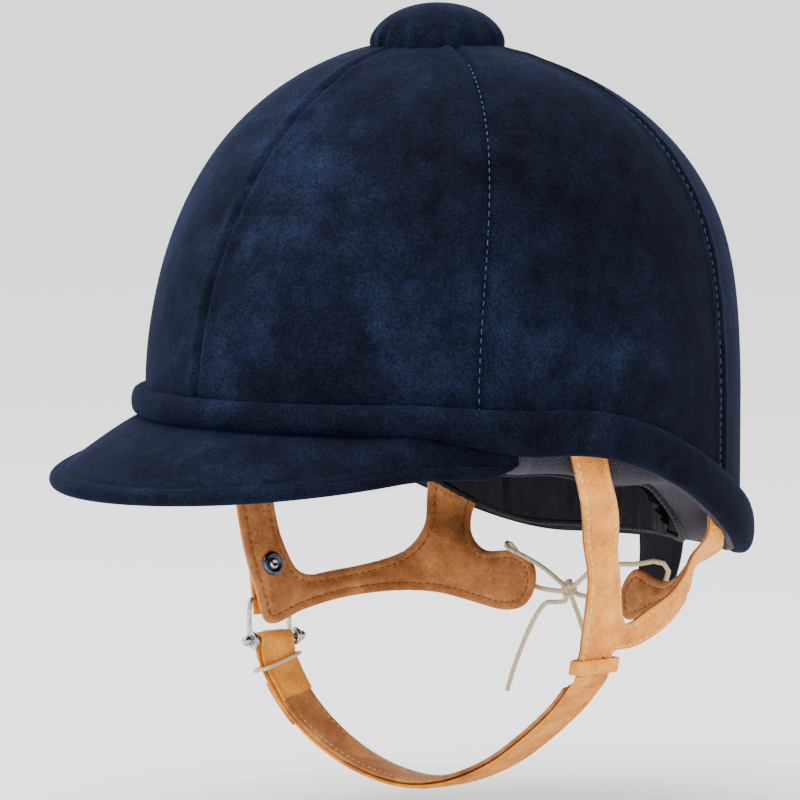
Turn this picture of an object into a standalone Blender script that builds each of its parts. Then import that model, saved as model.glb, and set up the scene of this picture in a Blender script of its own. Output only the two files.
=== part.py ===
"""Velvet riding helmet with a leather harness, in metres, +Z up.

The front of the helmet faces -Y and the wearer's left is +X. The origin is the centre of the
head's own circumference: the middle of the headband, level with the top of the rolled rim band.
"""

import math

import bmesh
import bpy
import numpy as np
from mathutils import Matrix, Vector

MM = 0.001
GAP = 0.3 * MM

# Crown: half length, half width and height of the velvet surface above the origin.
CROWN_LENGTH = 121.0 * MM
CROWN_WIDTH = 103.5 * MM
CROWN_HEIGHT = 132.5 * MM
CROWN_LEAN = -4.0 * MM
# Profile exponents: how the crown's half sizes shrink with height.
FRONT_CURVE = (1.73, 2.0)
BACK_CURVE = (2.95, 1.52)
SIDE_CURVE = (3.46, 2.0)
COLUMN_STEP = 10
# How far the velvet panels run down behind the rolled band.
PANEL_TUCK = 5.0 * MM
# Heights of the dome's levels, as shares of the crown's height, and the last one of the liners.
DOME_LIFTS = [0.0] + [1.0 - w * w for w in (0.866, 0.73, 0.59, 0.45, 0.32, 0.2, 0.09, 0.045)]
LINER_LEVELS = len(DOME_LIFTS) - 1
PANEL_COUNT = 6

# Rim line below the origin: under the peak, further down at the ears, furthest at the nape.
# The two turns are the angles from the front, in degrees, where each drop begins and ends.
EAR_TURNS = (45, 72)
NAPE_TURNS = (76, 152)
FRONT_RIM = 8.0 * MM
EAR_DROP = 9.0 * MM
NAPE_DROP = 50.0 * MM
BAND_FRONT_HEIGHT = 10.0 * MM
BAND_EAR_GAIN = 6.0 * MM
BAND_NAPE_GAIN = 2.0 * MM
BAND_BULGE = 5.5 * MM

# Layers of the wall, as depths below the velvet surface.
LAYER_GAP = 0.5 * MM
VELVET = 1.2 * MM
SHELL_OUT = VELVET + LAYER_GAP
SHELL_IN = SHELL_OUT + 2.6 * MM
LINER_OUT = SHELL_IN + LAYER_GAP
LINER_IN = LINER_OUT + 11.2 * MM
LINING_OUT = LINER_IN + LAYER_GAP
LINING_IN = LINING_OUT + 1.0 * MM
LINING_RISE = 3.0 * MM
HEADBAND_DROP = 9.5 * MM
# Towards the nape the padded ring is thinner and tucked up inside the rim.
PAD_TUCK = 7.0 * MM
PAD_THINNING = 0.75
PAD_EDGE = 3.9 * MM
PIPING_RADIUS = 1.5 * MM

# Peak: reach in front of the crown, the angle where it dies into the band, its fall.
PEAK_REACH = 47.0 * MM
PEAK_HALF_ANGLE = 60
PEAK_NARROWING = 1.17
PEAK_FALL = 20.5 * MM
PEAK_DROP = GAP + 0.4 * MM
PEAK_COVER = 1.2 * MM
PEAK_BOARD = 2.0 * MM
PEAK_LINING = 0.8 * MM

BUTTON_RADIUS = 25.0 * MM
BUTTON_HEIGHT = 15.8 * MM
BUTTON_BASE = 131.0 * MM

# Harness: a soft collar around the jaw and nape, and the straps that rise from it to the rim.
COLLAR_WIDTH = 84.0 * MM
COLLAR_BACK = 70.0 * MM
COLLAR_LEVEL = -80.0 * MM
COLLAR_FLARE = 0.21
LEATHER = 1.3 * MM
# Each side's leather is 140 mm long from jaw to nape; its front strap's middle is 17 mm ahead of
# the collar's zero, and each millimetre along it is 0.554 degrees round the rim above.
STRAP_LEAD = 17.0
STRAP_TURN_RATE = 0.554
STRAP_INSET = 6.4 * MM
FRONT_ANCHOR = 81.0
REAR_ANCHOR = 129.0
NAPE_ANCHOR = 180.0
ANCHOR_RISE = 9.0 * MM
POCKET_IN = 11.5 * MM
RIVET_RADIUS = 1.9 * MM

# Chin strap and its fastening.
CHIN_WIDTH = 16.0 * MM
CHIN_THICKNESS = 1.6 * MM
CHIN_LINING = 2.0 * MM
CHIN_HINGE = Vector((79.3, 5.0, -104.4)) * MM
BAR_AXIS = Vector((-82.5, -18.5, -104.5)) * MM
BAR_RADIUS = 1.2 * MM
BAR_LENGTH = 27.0 * MM
BALL_RADIUS = 2.2 * MM
WIRE_RADIUS = 1.0 * MM
LINK_AXIS = Vector((-85.5, -18.5, -88.0)) * MM
LINK_HALF_WIDTH = 10.0 * MM
FLAP_HINGE = Vector((-87.4, -18.5, -95.2)) * MM
FLAP_WIDTH = 14.5 * MM
STUD_PLACE = (-18.5 * MM, -75.0 * MM)
STUD_TILT = -(math.pi / 2 + math.atan(COLLAR_FLARE))
LACE_RADIUS = 1.0 * MM

VELVET_NAVY = (0.012, 0.018, 0.045)
CLOTH_NAVY = (0.015, 0.018, 0.03)
WOVEN_GREY = (0.07, 0.06, 0.08)
TAN = (0.60, 0.29, 0.10)
TAN_LINING = (0.45, 0.21, 0.08)
CREAM = (0.72, 0.55, 0.36)
STEEL = (0.62, 0.60, 0.57)
SHELL_GREY = (0.10, 0.10, 0.11)
FOAM = (0.75, 0.75, 0.73)
BOARD = (0.30, 0.24, 0.17)


def clear_scene():
    """Remove whatever the scene holds."""
    for item in list(bpy.data.objects):
        bpy.data.objects.remove(item, do_unlink=True)


def material(name, colour, roughness, metallic=0.0):
    """A Principled material of one colour, shared by name."""
    found = bpy.data.materials.get(name)
    if found:
        return found
    made = bpy.data.materials.new(name)
    made.use_nodes = True
    shader = made.node_tree.nodes["Principled BSDF"]
    shader.inputs["Base Color"].default_value = (*colour, 1.0)
    shader.inputs["Roughness"].default_value = roughness
    shader.inputs["Metallic"].default_value = metallic
    return made


def velvet():
    return material("navy_velvet", VELVET_NAVY, 0.95)


def leather():
    return material("tan_leather", TAN, 0.6)


def steel():
    return material("steel_wire", STEEL, 0.3, 1.0)


def cord_cream():
    return material("cream_cord", CREAM, 0.9)


def add_object(name, mesh, finish):
    """Link a mesh to the scene as a named object with smooth faces and its finish."""
    mesh.materials.append(finish)
    mesh.shade_smooth()
    mesh.set_sharp_from_angle(angle=math.radians(40))
    made = bpy.data.objects.new(name, mesh)
    bpy.context.scene.collection.objects.link(made)
    return made


def loft(name, sections, finish, ring=False):
    """Skin closed sections of equal length; an open run is capped, a ring joins up."""
    shape = bmesh.new()
    rows = [[shape.verts.new(point) for point in section] for section in sections]
    size = len(rows[0])
    followers = rows[1:] + rows[:1] if ring else rows[1:]
    for row, after in zip(rows, followers):
        for k in range(size):
            n = (k + 1) % size
            shape.faces.new((row[k], row[n], after[n], after[k]))
    if not ring:
        for row in (rows[0], rows[-1]):
            for k in range(size // 2 - 1):
                shape.faces.new((row[k], row[k + 1], row[size - 2 - k], row[size - 1 - k]))
    bmesh.ops.remove_doubles(shape, verts=shape.verts[:], dist=1e-6)
    bmesh.ops.recalc_face_normals(shape, faces=shape.faces[:])
    mesh = bpy.data.meshes.new(name)
    shape.to_mesh(mesh)
    shape.free()
    return add_object(name, mesh, finish)


def turned(name, profile, finish, sides=20):
    """Spin a closed (radius, height) profile about its own Z axis."""
    turns = [math.tau * k / sides for k in range(sides)]
    sections = [[(r * math.cos(a), r * math.sin(a), h) for r, h in profile] for a in turns]
    return loft(name, sections, finish, ring=True)


def cord(name, points, radius, finish, closed=False, fineness=2):
    """A round cord or wire along a list of points."""
    curve = bpy.data.curves.new(name, "CURVE")
    curve.dimensions = "3D"
    curve.bevel_depth = radius
    curve.bevel_resolution = fineness
    curve.use_fill_caps = not closed
    spline = curve.splines.new("POLY")
    spline.points.add(len(points) - 1)
    for knot, point in zip(spline.points, points):
        knot.co = (*point, 1.0)
    spline.use_cyclic_u = closed
    curve.materials.append(finish)
    made = bpy.data.objects.new(name, curve)
    bpy.context.scene.collection.objects.link(made)
    return made


def smooth_route(points, count, closed=False):
    """Even points along a Catmull-Rom curve through the given points."""
    knots = [Vector(point) for point in points]
    if closed:
        knots = [knots[-1]] + knots + knots[:2]
    else:
        knots = [knots[0] * 2 - knots[1]] + knots + [knots[-1] * 2 - knots[-2]]
    dense = []
    for a, b, c, d in zip(knots, knots[1:], knots[2:], knots[3:]):
        for step in range(12):
            t = step / 12
            dense.append(0.5 * (2 * b + (c - a) * t + (2 * a - 5 * b + 4 * c - d) * t ** 2
                                + (3 * b - a - 3 * c + d) * t ** 3))
    dense.append(knots[-2])
    lengths = np.cumsum([0.0] + [(q - p).length for p, q in zip(dense, dense[1:])])
    wanted = np.linspace(0.0, lengths[-1], count + 1 if closed else count)
    if closed:
        wanted = wanted[:-1]
    axes = [np.interp(wanted, lengths, [point[k] for point in dense])
            for k in range(len(dense[0]))]
    return [Vector(values) for values in zip(*axes)]


def ribbon(name, route, width, thickness, finish, across=Vector((0, 1, 0))):
    """A flat strip along a route; its width lies along `across`, square to the route."""
    sections = []
    widths = width if isinstance(width, list) else [width] * len(route)
    for k, point in enumerate(route):
        along = (route[min(k + 1, len(route) - 1)] - route[max(k - 1, 0)]).normalized()
        side = (across - along * across.dot(along)).normalized()
        lift = along.cross(side) * thickness / 2
        side = side * widths[k] / 2
        sections.append([point - side + lift, point + side + lift,
                         point + side - lift, point - side - lift])
    return loft(name, sections, finish)


def shift_route(route, distance, across=Vector((0, 1, 0))):
    """The same route moved square to itself and to `across`."""
    moved = []
    for k, point in enumerate(route):
        along = (route[min(k + 1, len(route) - 1)] - route[max(k - 1, 0)]).normalized()
        side = (across - along * across.dot(along)).normalized()
        moved.append(point + along.cross(side) * distance)
    return moved


def set_origin(item, point):
    """Put an object's own origin at a point without moving its shape."""
    item.data.transform(Matrix.Translation(-Vector(point)))
    item.location = point


def cutter(name, shape_object):
    """Mark an object as a cutter, which isn't part of the helmet."""
    shape_object.name = name
    shape_object.hide_render = True
    shape_object.display_type = "WIRE"
    return shape_object


def cut(item, tool):
    """Take the tool's volume away from the object."""
    step = item.modifiers.new("cut_" + tool.name, "BOOLEAN")
    step.operation = "DIFFERENCE"
    step.solver = "EXACT"
    step.object = tool


# ---------------------------------------------------------------- crown geometry


def ramp(value, low, high):
    """Smooth step from 0 at low to 1 at high."""
    share = min(max((value - low) / (high - low), 0.0), 1.0)
    return share * share * (3.0 - 2.0 * share)


def off_front(turn):
    """Angle from the front, 0 to 180 degrees, on either side."""
    return abs((turn + 180.0) % 360.0 - 180.0)


def rim_height(turn):
    """Height of the rim line at an angle from the front."""
    turn = off_front(turn)
    return -(FRONT_RIM + EAR_DROP * ramp(turn, *EAR_TURNS) + NAPE_DROP * ramp(turn, *NAPE_TURNS))


def band_height(turn):
    """Height of the rolled band above the rim line."""
    turn = off_front(turn)
    gain = BAND_EAR_GAIN * ramp(turn, *EAR_TURNS) + BAND_NAPE_GAIN * ramp(turn, *NAPE_TURNS)
    return BAND_FRONT_HEIGHT + gain


def wall_point(turn, height, inset):
    """A point on the crown's upright wall, below the origin's level."""
    angle = math.radians(turn)
    return Vector(((CROWN_WIDTH - inset) * math.sin(angle),
                   -(CROWN_LENGTH - inset) * math.cos(angle), height))


def wall_normal(turn):
    """The level direction out of the wall at an angle from the front."""
    angle = math.radians(turn)
    return Vector((math.sin(angle) * CROWN_LENGTH, -math.cos(angle) * CROWN_WIDTH, 0)).normalized()


def dome_point(turn, lift, inset):
    """A point on the dome; lift runs from 0 at the origin's level to 1 at the top."""
    angle = math.radians(turn)
    along_curve = FRONT_CURVE if math.cos(angle) > 0 else BACK_CURVE
    along = (1.0 - lift ** along_curve[0]) ** (1.0 / along_curve[1])
    across = (1.0 - lift ** SIDE_CURVE[0]) ** (1.0 / SIDE_CURVE[1])
    return Vector(((CROWN_WIDTH - inset) * across * math.sin(angle),
                   -(CROWN_LENGTH - inset) * along * math.cos(angle) + CROWN_LEAN * lift,
                   (CROWN_HEIGHT - inset) * lift))


def crown_column(turn, inset, foot, levels):
    """Points up the crown at one angle, from the foot height to the hole at the top."""
    rising = [dome_point(turn, lift, inset) for lift in DOME_LIFTS[:levels]]
    return [wall_point(turn, foot, inset)] + rising


def low_facet_point(turn, height, inset):
    """A point on the faceted crown, up to its first level above the origin."""
    base = wall_point(turn, height, inset)
    if height <= 0.0:
        return base
    above = dome_point(turn, DOME_LIFTS[1], inset)
    return wall_point(turn, 0.0, inset).lerp(above, height / above.z)


def tuck(turn):
    """How far back the headband's section has changed: 0 at the front, 1 at the nape."""
    return ramp(off_front(turn), 90, 114)


def crown_layer(name, depths, finish, levels=LINER_LEVELS, foot_rise=0.0, nape_rise=PAD_TUCK):
    """One closed dome-shaped layer of the crown, with a small hole at the top."""
    outer, inner = depths
    sections = []
    for turn in range(0, 360, COLUMN_STEP):
        foot = rim_height(turn) + foot_rise + nape_rise * tuck(turn)
        outside = crown_column(turn, outer, foot, levels)
        inside = crown_column(turn, inner, foot, levels)
        sections.append(outside + inside[::-1])
    return loft(name, sections, finish, ring=True)


def build_crown_panels():
    """Six velvet panels that meet at the seams and under the button."""
    span = 360 // PANEL_COUNT
    seam_gap = 0.15
    for index in range(PANEL_COUNT):
        start = index * span
        turns = [start + seam_gap] + list(range(start + COLUMN_STEP, start + span, COLUMN_STEP))
        sections = []
        for turn in turns + [start + span - seam_gap]:
            foot = rim_height(turn) + band_height(turn) - PANEL_TUCK
            outside = crown_column(turn, 0.0, foot, len(DOME_LIFTS))
            inside = crown_column(turn, VELVET, foot, len(DOME_LIFTS))
            sections.append(outside + inside[::-1])
        loft(f"crown_panel_{index + 1}", sections, velvet())


def build_shell_and_liners():
    """The stiff shell, the foam liner, the cloth lining and the pad under the top."""
    shell = crown_layer("skull_shell", (SHELL_OUT, SHELL_IN),
                        material("shell_laminate", SHELL_GREY, 0.5),
                        levels=len(DOME_LIFTS), nape_rise=0.0)
    liner = crown_layer("foam_liner", (LINER_OUT, LINER_IN), material("foam", FOAM, 0.9))
    crown_layer("crown_lining", (LINING_OUT, LINING_IN),
                material("lining_cloth", CLOTH_NAVY, 0.9), foot_rise=LINING_RISE)
    build_crown_pad()
    return shell, liner


def build_crown_pad():
    """A round pad that carries the helmet on top of the head."""
    profile = [(0.0, 0.0), (22.0, -0.4), (34.0, -2.2), (36.0, -5.0), (33.0, -7.0),
               (22.0, -6.4), (0.0, -6.0)]
    pad = turned("crown_pad", [(r * MM, h * MM) for r, h in profile],
                 material("lining_cloth", CLOTH_NAVY, 0.9), sides=24)
    pad.location = (0.0, CROWN_LEAN, CROWN_HEIGHT - LINING_IN - 8.5 * MM)


def build_button():
    """The covered button, its core, and the screw that holds it through the shell."""
    steps = [math.radians(a) for a in (0, 18, 36, 54, 72, 90)]
    cover_out = [(BUTTON_RADIUS * math.cos(a), BUTTON_HEIGHT * math.sin(a)) for a in steps]
    wall = 1.2 * MM
    inner = BUTTON_RADIUS - wall
    cover_in = [(inner * math.cos(a), (BUTTON_HEIGHT - wall) * math.sin(a)) for a in steps]
    cover = turned("top_button", cover_out + cover_in[::-1], velvet(), sides=24)
    cover.location = (0.0, CROWN_LEAN, BUTTON_BASE)
    core_radius = inner - GAP
    lift = 3.6 * MM
    core_top = [(core_radius * math.cos(a), (BUTTON_HEIGHT - wall - GAP) * math.sin(a))
                for a in steps if (BUTTON_HEIGHT - wall - GAP) * math.sin(a) > lift]
    flat = core_radius * 0.93
    bore = 2.2 * MM
    core = turned("button_core", [(bore, lift), (flat, lift)] + core_top[:-1]
                  + [(bore, BUTTON_HEIGHT - wall - GAP - 1.0 * MM)],
                  material("core_board", BOARD, 0.8), sides=24)
    core.location = cover.location
    stem = 1.9 * MM
    top = BUTTON_BASE + BUTTON_HEIGHT - 3.4 * MM
    low = CROWN_HEIGHT - SHELL_IN - 9.0 * MM
    screw = turned("button_screw", [(0.0, low), (stem, low), (stem, top), (0.0, top)],
                   steel(), sides=12)
    screw.location = (0.0, CROWN_LEAN, 0.0)
    under_shell = CROWN_HEIGHT - SHELL_IN - 1.6 * MM
    washer = turned("button_washer", ring_profile(bore, 9.0 * MM, under_shell - 1.2 * MM,
                                                  under_shell), steel(), sides=16)
    washer.location = screw.location
    nut_top = under_shell - 1.5 * MM
    nut = turned("button_nut", ring_profile(bore, 4.0 * MM, nut_top - 3.0 * MM, nut_top),
                 steel(), sides=6)
    nut.location = screw.location


def ring_profile(inner, outer, low, high):
    """The closed profile of a flat ring."""
    return [(inner, low), (outer, low), (outer, high), (inner, high)]


def build_rim_band():
    """The rolled velvet band around the foot of the crown."""
    sections = []
    for turn in range(0, 360, COLUMN_STEP):
        low = rim_height(turn)
        tall = band_height(turn)
        shape = [(GAP, 0.12), (0.55 * BAND_BULGE, 0.0), (0.9 * BAND_BULGE, 0.15),
                 (BAND_BULGE, 0.5), (0.88 * BAND_BULGE, 0.84), (0.45 * BAND_BULGE, 1.0),
                 (GAP, 0.9), (GAP, 0.5)]
        sections.append([wall_point(turn, low + share * tall, -out) for out, share in shape])
    loft("rim_band", sections, velvet(), ring=True)


def headband_section(turn):
    """The padded ring's section: a lip below the rim and a band up inside the lining."""
    base = rim_height(turn) + PAD_TUCK * tuck(turn)
    thin = 1.0 - PAD_THINNING * tuck(turn)
    edge = PAD_EDGE * ramp(off_front(turn), 74, 88)
    lip = [(1.0, -0.4), (4.0, -4.5 * thin), (11.0, -8.2 * thin), (18.0, -9.5 * thin),
           (22.0, -8.5 * thin), (23.0, -4.0 * thin)]
    lip = [(max(inset * MM, MM + edge), rise) for inset, rise in lip]
    lip[1] = (lip[1][0] + 0.3 * edge, lip[1][1])
    rising = [(22.9, 12.0), (20.5, 26.0), (18.1, 24.0), (18.1, -0.4)]
    shape = lip + [(inset * MM, rise) for inset, rise in rising]
    return [low_facet_point(turn, base + rise * MM, inset) for inset, rise in shape]


def build_headband():
    """The padded headband and the piping along its inner edge."""
    sections = [headband_section(turn) for turn in range(0, 360, COLUMN_STEP)]
    band = loft("headband_pad", sections, material("woven_grey", WOVEN_GREY, 0.9), ring=True)
    route = []
    for turn in range(0, 360, COLUMN_STEP):
        base = rim_height(turn) + PAD_TUCK * tuck(turn)
        low = base - HEADBAND_DROP * (1.0 - PAD_THINNING * tuck(turn))
        route.append(wall_point(turn, low - PIPING_RADIUS - 0.4 * MM, 20.0 * MM))
    cord("headband_piping", route, PIPING_RADIUS, material("lining_cloth", CLOTH_NAVY, 0.9),
         closed=True)
    return band


# ---------------------------------------------------------------- peak


def peak_reach(turn):
    """How far the peak stands out from the crown at an angle from the front."""
    return PEAK_REACH * math.cos(math.radians(PEAK_NARROWING * turn)) ** 2


def peak_point(turn, share, depth, trim=0.0):
    """A point on the peak: share runs from the crown to the edge, depth goes down."""
    reach = (peak_reach(turn) - trim) * share
    fall = PEAK_FALL * math.cos(math.radians(PEAK_NARROWING * turn)) * share ** 1.3
    edge = wall_point(turn, 0.0, 0.0) + wall_normal(turn) * (2 * GAP + reach)
    edge.z = rim_height(0.0) - EAR_DROP * ramp(abs(turn), *EAR_TURNS) - PEAK_DROP - fall - depth
    return edge


def peak_layer(name, top, bottom, finish, trim):
    """One layer of the peak between two depths."""
    shares = (0.0, 0.2, 0.4, 0.6, 0.8, 1.0)
    sections = []
    for turn in range(-PEAK_HALF_ANGLE, PEAK_HALF_ANGLE + 1, 3):
        above = [peak_point(turn, share, top, trim) for share in shares]
        below = [peak_point(turn, share, bottom, trim) for share in shares[::-1]]
        sections.append(above + below)
    return loft(name, sections, finish)


def build_peak():
    """The board of the peak, its velvet cover, its lining and the edge piping."""
    trim = 2.0 * PIPING_RADIUS + GAP
    board_top = PEAK_COVER + LAYER_GAP
    lining_top = board_top + PEAK_BOARD + LAYER_GAP
    peak_layer("peak_cover", 0.0, PEAK_COVER, velvet(), trim)
    peak_layer("peak_board", board_top, board_top + PEAK_BOARD,
               material("core_board", BOARD, 0.8), trim)
    peak_layer("peak_lining", lining_top, lining_top + PEAK_LINING,
               material("lining_cloth", CLOTH_NAVY, 0.9), trim)
    middle = (lining_top + PEAK_LINING) / 2
    route = []
    for turn in range(-PEAK_HALF_ANGLE, PEAK_HALF_ANGLE + 1, 4):
        place = peak_point(turn, 1.0, middle, trim)
        route.append(place + wall_normal(turn) * (PIPING_RADIUS + GAP))
    cord("peak_piping", route, PIPING_RADIUS, velvet())


# ---------------------------------------------------------------- harness


def collar_curve():
    """Dense (length, x, y) along the collar's plan, from the jaw back to the nape."""
    heights = np.concatenate([np.linspace(-60, 0, 7), 70 * np.sin(np.linspace(0.05, 1.55, 40))])
    depths = np.append(heights, 70.0) * MM
    widths = [COLLAR_WIDTH * (1 - max(y / COLLAR_BACK, 0.0) ** 4) ** 0.25 for y in depths]
    steps = np.hypot(np.diff(widths), np.diff(depths))
    lengths = np.concatenate([[0.0], np.cumsum(steps)]) - 60.0 * MM
    return lengths, np.array(widths), depths


COLLAR = collar_curve()


def harness_point(along, height, side, out):
    """A point on one side's leather: length along the collar, height, and depth outwards."""
    lengths, widths, depths = COLLAR
    reach = 0.5 * MM
    spots = [Vector((np.interp(a, lengths, widths), np.interp(a, lengths, depths), 0))
             for a in (along - reach, along, along + reach)]
    tangent = (spots[2] - spots[0]).normalized()
    normal = Vector((tangent.y, -tangent.x, 0))
    flare = COLLAR_FLARE * (height - COLLAR_LEVEL)
    low = spots[1] + normal * flare
    turn = FRONT_ANCHOR + (along / MM + STRAP_LEAD) * STRAP_TURN_RATE
    high = wall_point(turn, 0.0, STRAP_INSET)
    rear = ramp(along / MM, 20, 55)
    top = rim_height(turn) - (10.0 - 8.0 * rear) * MM
    share = ramp(height, top - (24.0 - 10.0 * rear) * MM, top) * (1.0 - ramp(along / MM, 80, 90))
    facing = normal.lerp(wall_normal(turn), share).normalized()
    place = low.lerp(high, share) + facing * out
    return Vector((side * place.x, place.y, height))


def leather_panel(name, outline, side, inner, outer, finish):
    """A cut leather shape bent onto the harness, with its thickness."""
    points = smooth_route([(x * MM, z * MM) for x, z in outline], 64, closed=True)
    shape = bmesh.new()
    shape.faces.new([shape.verts.new((p.x, 0.0, p.y)) for p in points])
    cuts = [((x * MM, 0, 0), (1, 0, 0)) for x in range(-20, 110, 12)]
    cuts += [((0, 0, -z * MM), (0, 0, 1)) for z in range(25, 100, 12)]
    for place, normal in cuts:
        everything = shape.verts[:] + shape.edges[:] + shape.faces[:]
        bmesh.ops.bisect_plane(shape, geom=everything, plane_co=place, plane_no=normal,
                               dist=1e-5)
    bmesh.ops.remove_doubles(shape, verts=shape.verts[:], dist=0.6 * MM)
    bmesh.ops.triangulate(shape, faces=shape.faces[:])
    made = bmesh.ops.extrude_face_region(shape, geom=shape.faces[:], use_keep_orig=True)
    lifted = {item for item in made["geom"] if isinstance(item, bmesh.types.BMVert)}
    for vert in shape.verts:
        depth = outer if vert in lifted else inner
        vert.co = harness_point(vert.co.x, vert.co.z, side, depth)
    bmesh.ops.recalc_face_normals(shape, faces=shape.faces[:])
    mesh = bpy.data.meshes.new(name)
    shape.to_mesh(mesh)
    shape.free()
    return add_object(name, mesh, finish)


RIGHT_OUTLINE = [(-30, -2), (-12, -2), (-12, -30), (-13, -54), (-10, -70), (-3, -80), (15, -80),
                 (35, -78), (48, -74), (55, -65), (57, -52), (59, -34), (79, -36), (77, -52),
                 (74, -62), (74, -69), (81, -74), (95, -72.5), (106, -77), (109, -85),
                 (105, -93), (95, -96), (80, -94.5), (60, -91), (40, -90), (15, -91), (-5, -94),
                 (-23, -98), (-27, -85), (-30, -70), (-31, -54), (-31, -30)]
LEFT_OUTLINE = [(-22, -2), (-10, -2), (-3, -30), (6, -52), (11.5, -68), (15, -81), (19, -85.5),
                (30, -80.5), (43, -74.5), (54, -64), (58, -52), (60, -34), (79, -36), (79, -52),
                (76, -64), (75, -70), (79, -74.5), (86, -76.5), (95, -75.5), (104, -73.5),
                (109.5, -79), (110, -86), (106, -92.5), (98, -92), (90, -88.5), (80, -85),
                (70, -82), (58, -81.5), (45, -87), (33, -92), (23, -94.8), (13, -95.8),
                (12.6, -102.5), (-2.8, -102.5), (-3.2, -94), (-3.5, -80), (-4.5, -66),
                (-10, -51), (-17, -30)]


def on_wall(item, turn, height, inset):
    """Stand an object that was modelled along +Z on the wall, pointing outwards."""
    item.rotation_mode = "QUATERNION"
    item.rotation_quaternion = Vector((0, 0, 1)).rotation_difference(wall_normal(turn))
    item.location = wall_point(turn, height, inset)
    return item


def anchor_places():
    """Name, angle from the front and height of each harness anchor."""
    places = [("front_left", FRONT_ANCHOR - 1), ("front_right", 1 - FRONT_ANCHOR),
              ("rear_left", REAR_ANCHOR), ("rear_right", -REAR_ANCHOR), ("nape", NAPE_ANCHOR)]
    return [(name, turn, rim_height(turn) + ANCHOR_RISE) for name, turn in places]


def build_rivets(shell, liner, headband, straps):
    """Rivets that hold the straps inside the shell, and the pockets that make room for them."""
    for name, turn, height in anchor_places():
        reach_in = (9.9 if name == "nape" else 8.6) * MM
        length = reach_in - SHELL_OUT - 0.2 * MM
        profile = [(0.0, -length - 0.9 * MM), (3.4 * MM, -length - 0.9 * MM), (3.4 * MM, -length),
                   (RIVET_RADIUS, -length), (RIVET_RADIUS, 0.0), (0.0, 0.0)]
        rivet = turned(f"{name}_rivet", profile, steel(), sides=12)
        on_wall(rivet, turn, height, SHELL_OUT + 0.2 * MM)
        hole = turned("hole", [(0.0, -length + 0.1 * MM), (RIVET_RADIUS + GAP, -length + 0.1 * MM),
                               (RIVET_RADIUS + GAP, 4 * MM), (0.0, 4 * MM)], steel(), sides=12)
        cutter(f"hole_{name}", on_wall(hole, turn, height, SHELL_OUT + 0.2 * MM))
        cut(shell, hole)
        for strap in straps.get(name, ()):
            cut(strap, hole)
        pocket = pocket_block(f"pocket_{name}", turn, rim_height(turn))
        cut(liner, pocket)
        cut(headband, pocket)


def pocket_block(name, turn, rim):
    """The room that a strap's end takes behind the shell and outside the headband."""
    half = 18.5 * MM
    inside = wall_normal(turn) * -(POCKET_IN - LINER_OUT + 4.0 * MM)
    outside = wall_normal(turn) * 8.0 * MM
    middle = wall_point(turn, 0.0, LINER_OUT - 4.0 * MM)
    level = Vector((0, 0, 1)).cross(wall_normal(turn)) * half
    corners = [middle + inside - level, middle + outside - level,
               middle + outside + level, middle + inside + level]
    sections = [[Vector((c.x, c.y, height)) for c in corners]
                for height in (rim - 30 * MM, rim + 25 * MM)]
    return cutter(name, loft(name, sections, steel()))


def build_harness():
    """Both sides' outer leather and inner lining, with the stud hole on the right."""
    split = GAP / 2
    panels = {}
    lining = material("tan_lining", TAN_LINING, 0.7)
    for name, outline, side in (("right_guard", RIGHT_OUTLINE, -1), ("left_guard", LEFT_OUTLINE, 1)):
        panels[name] = (
            leather_panel(name, outline, side, split, split + LEATHER, leather()),
            leather_panel(name + "_lining", outline, side, -split - LEATHER, -split, lining))
    return panels


def build_nape_strap():
    """The cloth strap that hangs from the middle of the back rim."""
    top = rim_height(NAPE_ANCHOR)
    route = [Vector((0.0, CROWN_LENGTH - depth * MM, top + rise * MM))
             for depth, rise in ((8.0, 16.0), (8.0, -1.0), (9.5, -12.0), (14.5, -26.0))]
    route = smooth_route(route, 8)
    widths = [(29.0 - 1.5 * k) * MM for k in range(8)]
    return ribbon("nape_strap", route, widths, 2.2 * MM,
                  material("nape_webbing", (0.01, 0.012, 0.02), 0.95), across=Vector((1, 0, 0)))


def build_stud(guard_pair):
    """The press stud's post through the right guard."""
    along, height = STUD_PLACE
    seat = harness_point(along, height, -1, 0.0)
    face = GAP / 2 + LEATHER + GAP
    back = -face
    profile = [(0.0, face + 1.1 * MM), (2.6 * MM, face + 1.1 * MM), (3.4 * MM, face),
               (1.7 * MM, face), (1.7 * MM, back), (4.3 * MM, back), (4.0 * MM, back - 0.8 * MM),
               (1.6 * MM, back - 1.3 * MM), (0.0, back - 0.9 * MM)]
    post = turned("press_stud_post", profile, steel(), sides=16)
    post.rotation_euler = (0.0, STUD_TILT, 0.0)
    post.location = seat
    hole = turned("stud_hole", [(0.0, -6 * MM), (2.1 * MM, -6 * MM), (2.1 * MM, 6 * MM),
                                (0.0, 6 * MM)], steel(), sides=16)
    hole.rotation_euler = post.rotation_euler
    hole.location = seat
    cutter("hole_stud", hole)
    for layer in guard_pair:
        cut(layer, hole)


def build_flap():
    """The leather flap outside the right guard that the press stud closes over the wire link."""
    middle = FLAP_HINGE.y
    route = []
    for height in (-95.0, -88.0, -78.0, -68.0):
        leather_face = COLLAR_WIDTH + COLLAR_FLARE * (height * MM - COLLAR_LEVEL) + LEATHER
        route.append(Vector((-leather_face - 3.9 * MM, middle, height * MM)))
    flap = ribbon("stud_flap", route, FLAP_WIDTH, 1.5 * MM, leather())
    set_origin(flap, FLAP_HINGE)
    seat = harness_point(*STUD_PLACE, -1, 0.0)
    cap = turned("press_stud_cap", [(0.0, 0.0), (4.4 * MM, 0.0), (4.2 * MM, 0.9 * MM),
                                    (2.4 * MM, 1.7 * MM), (0.0, 1.9 * MM)], steel(), sides=16)
    cap.data.transform(Matrix.Rotation(STUD_TILT, 4, "Y"))
    cap.data.transform(Matrix.Translation((seat.x - LEATHER - 4.95 * MM, seat.y, seat.z)))
    set_origin(cap, FLAP_HINGE)


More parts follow.
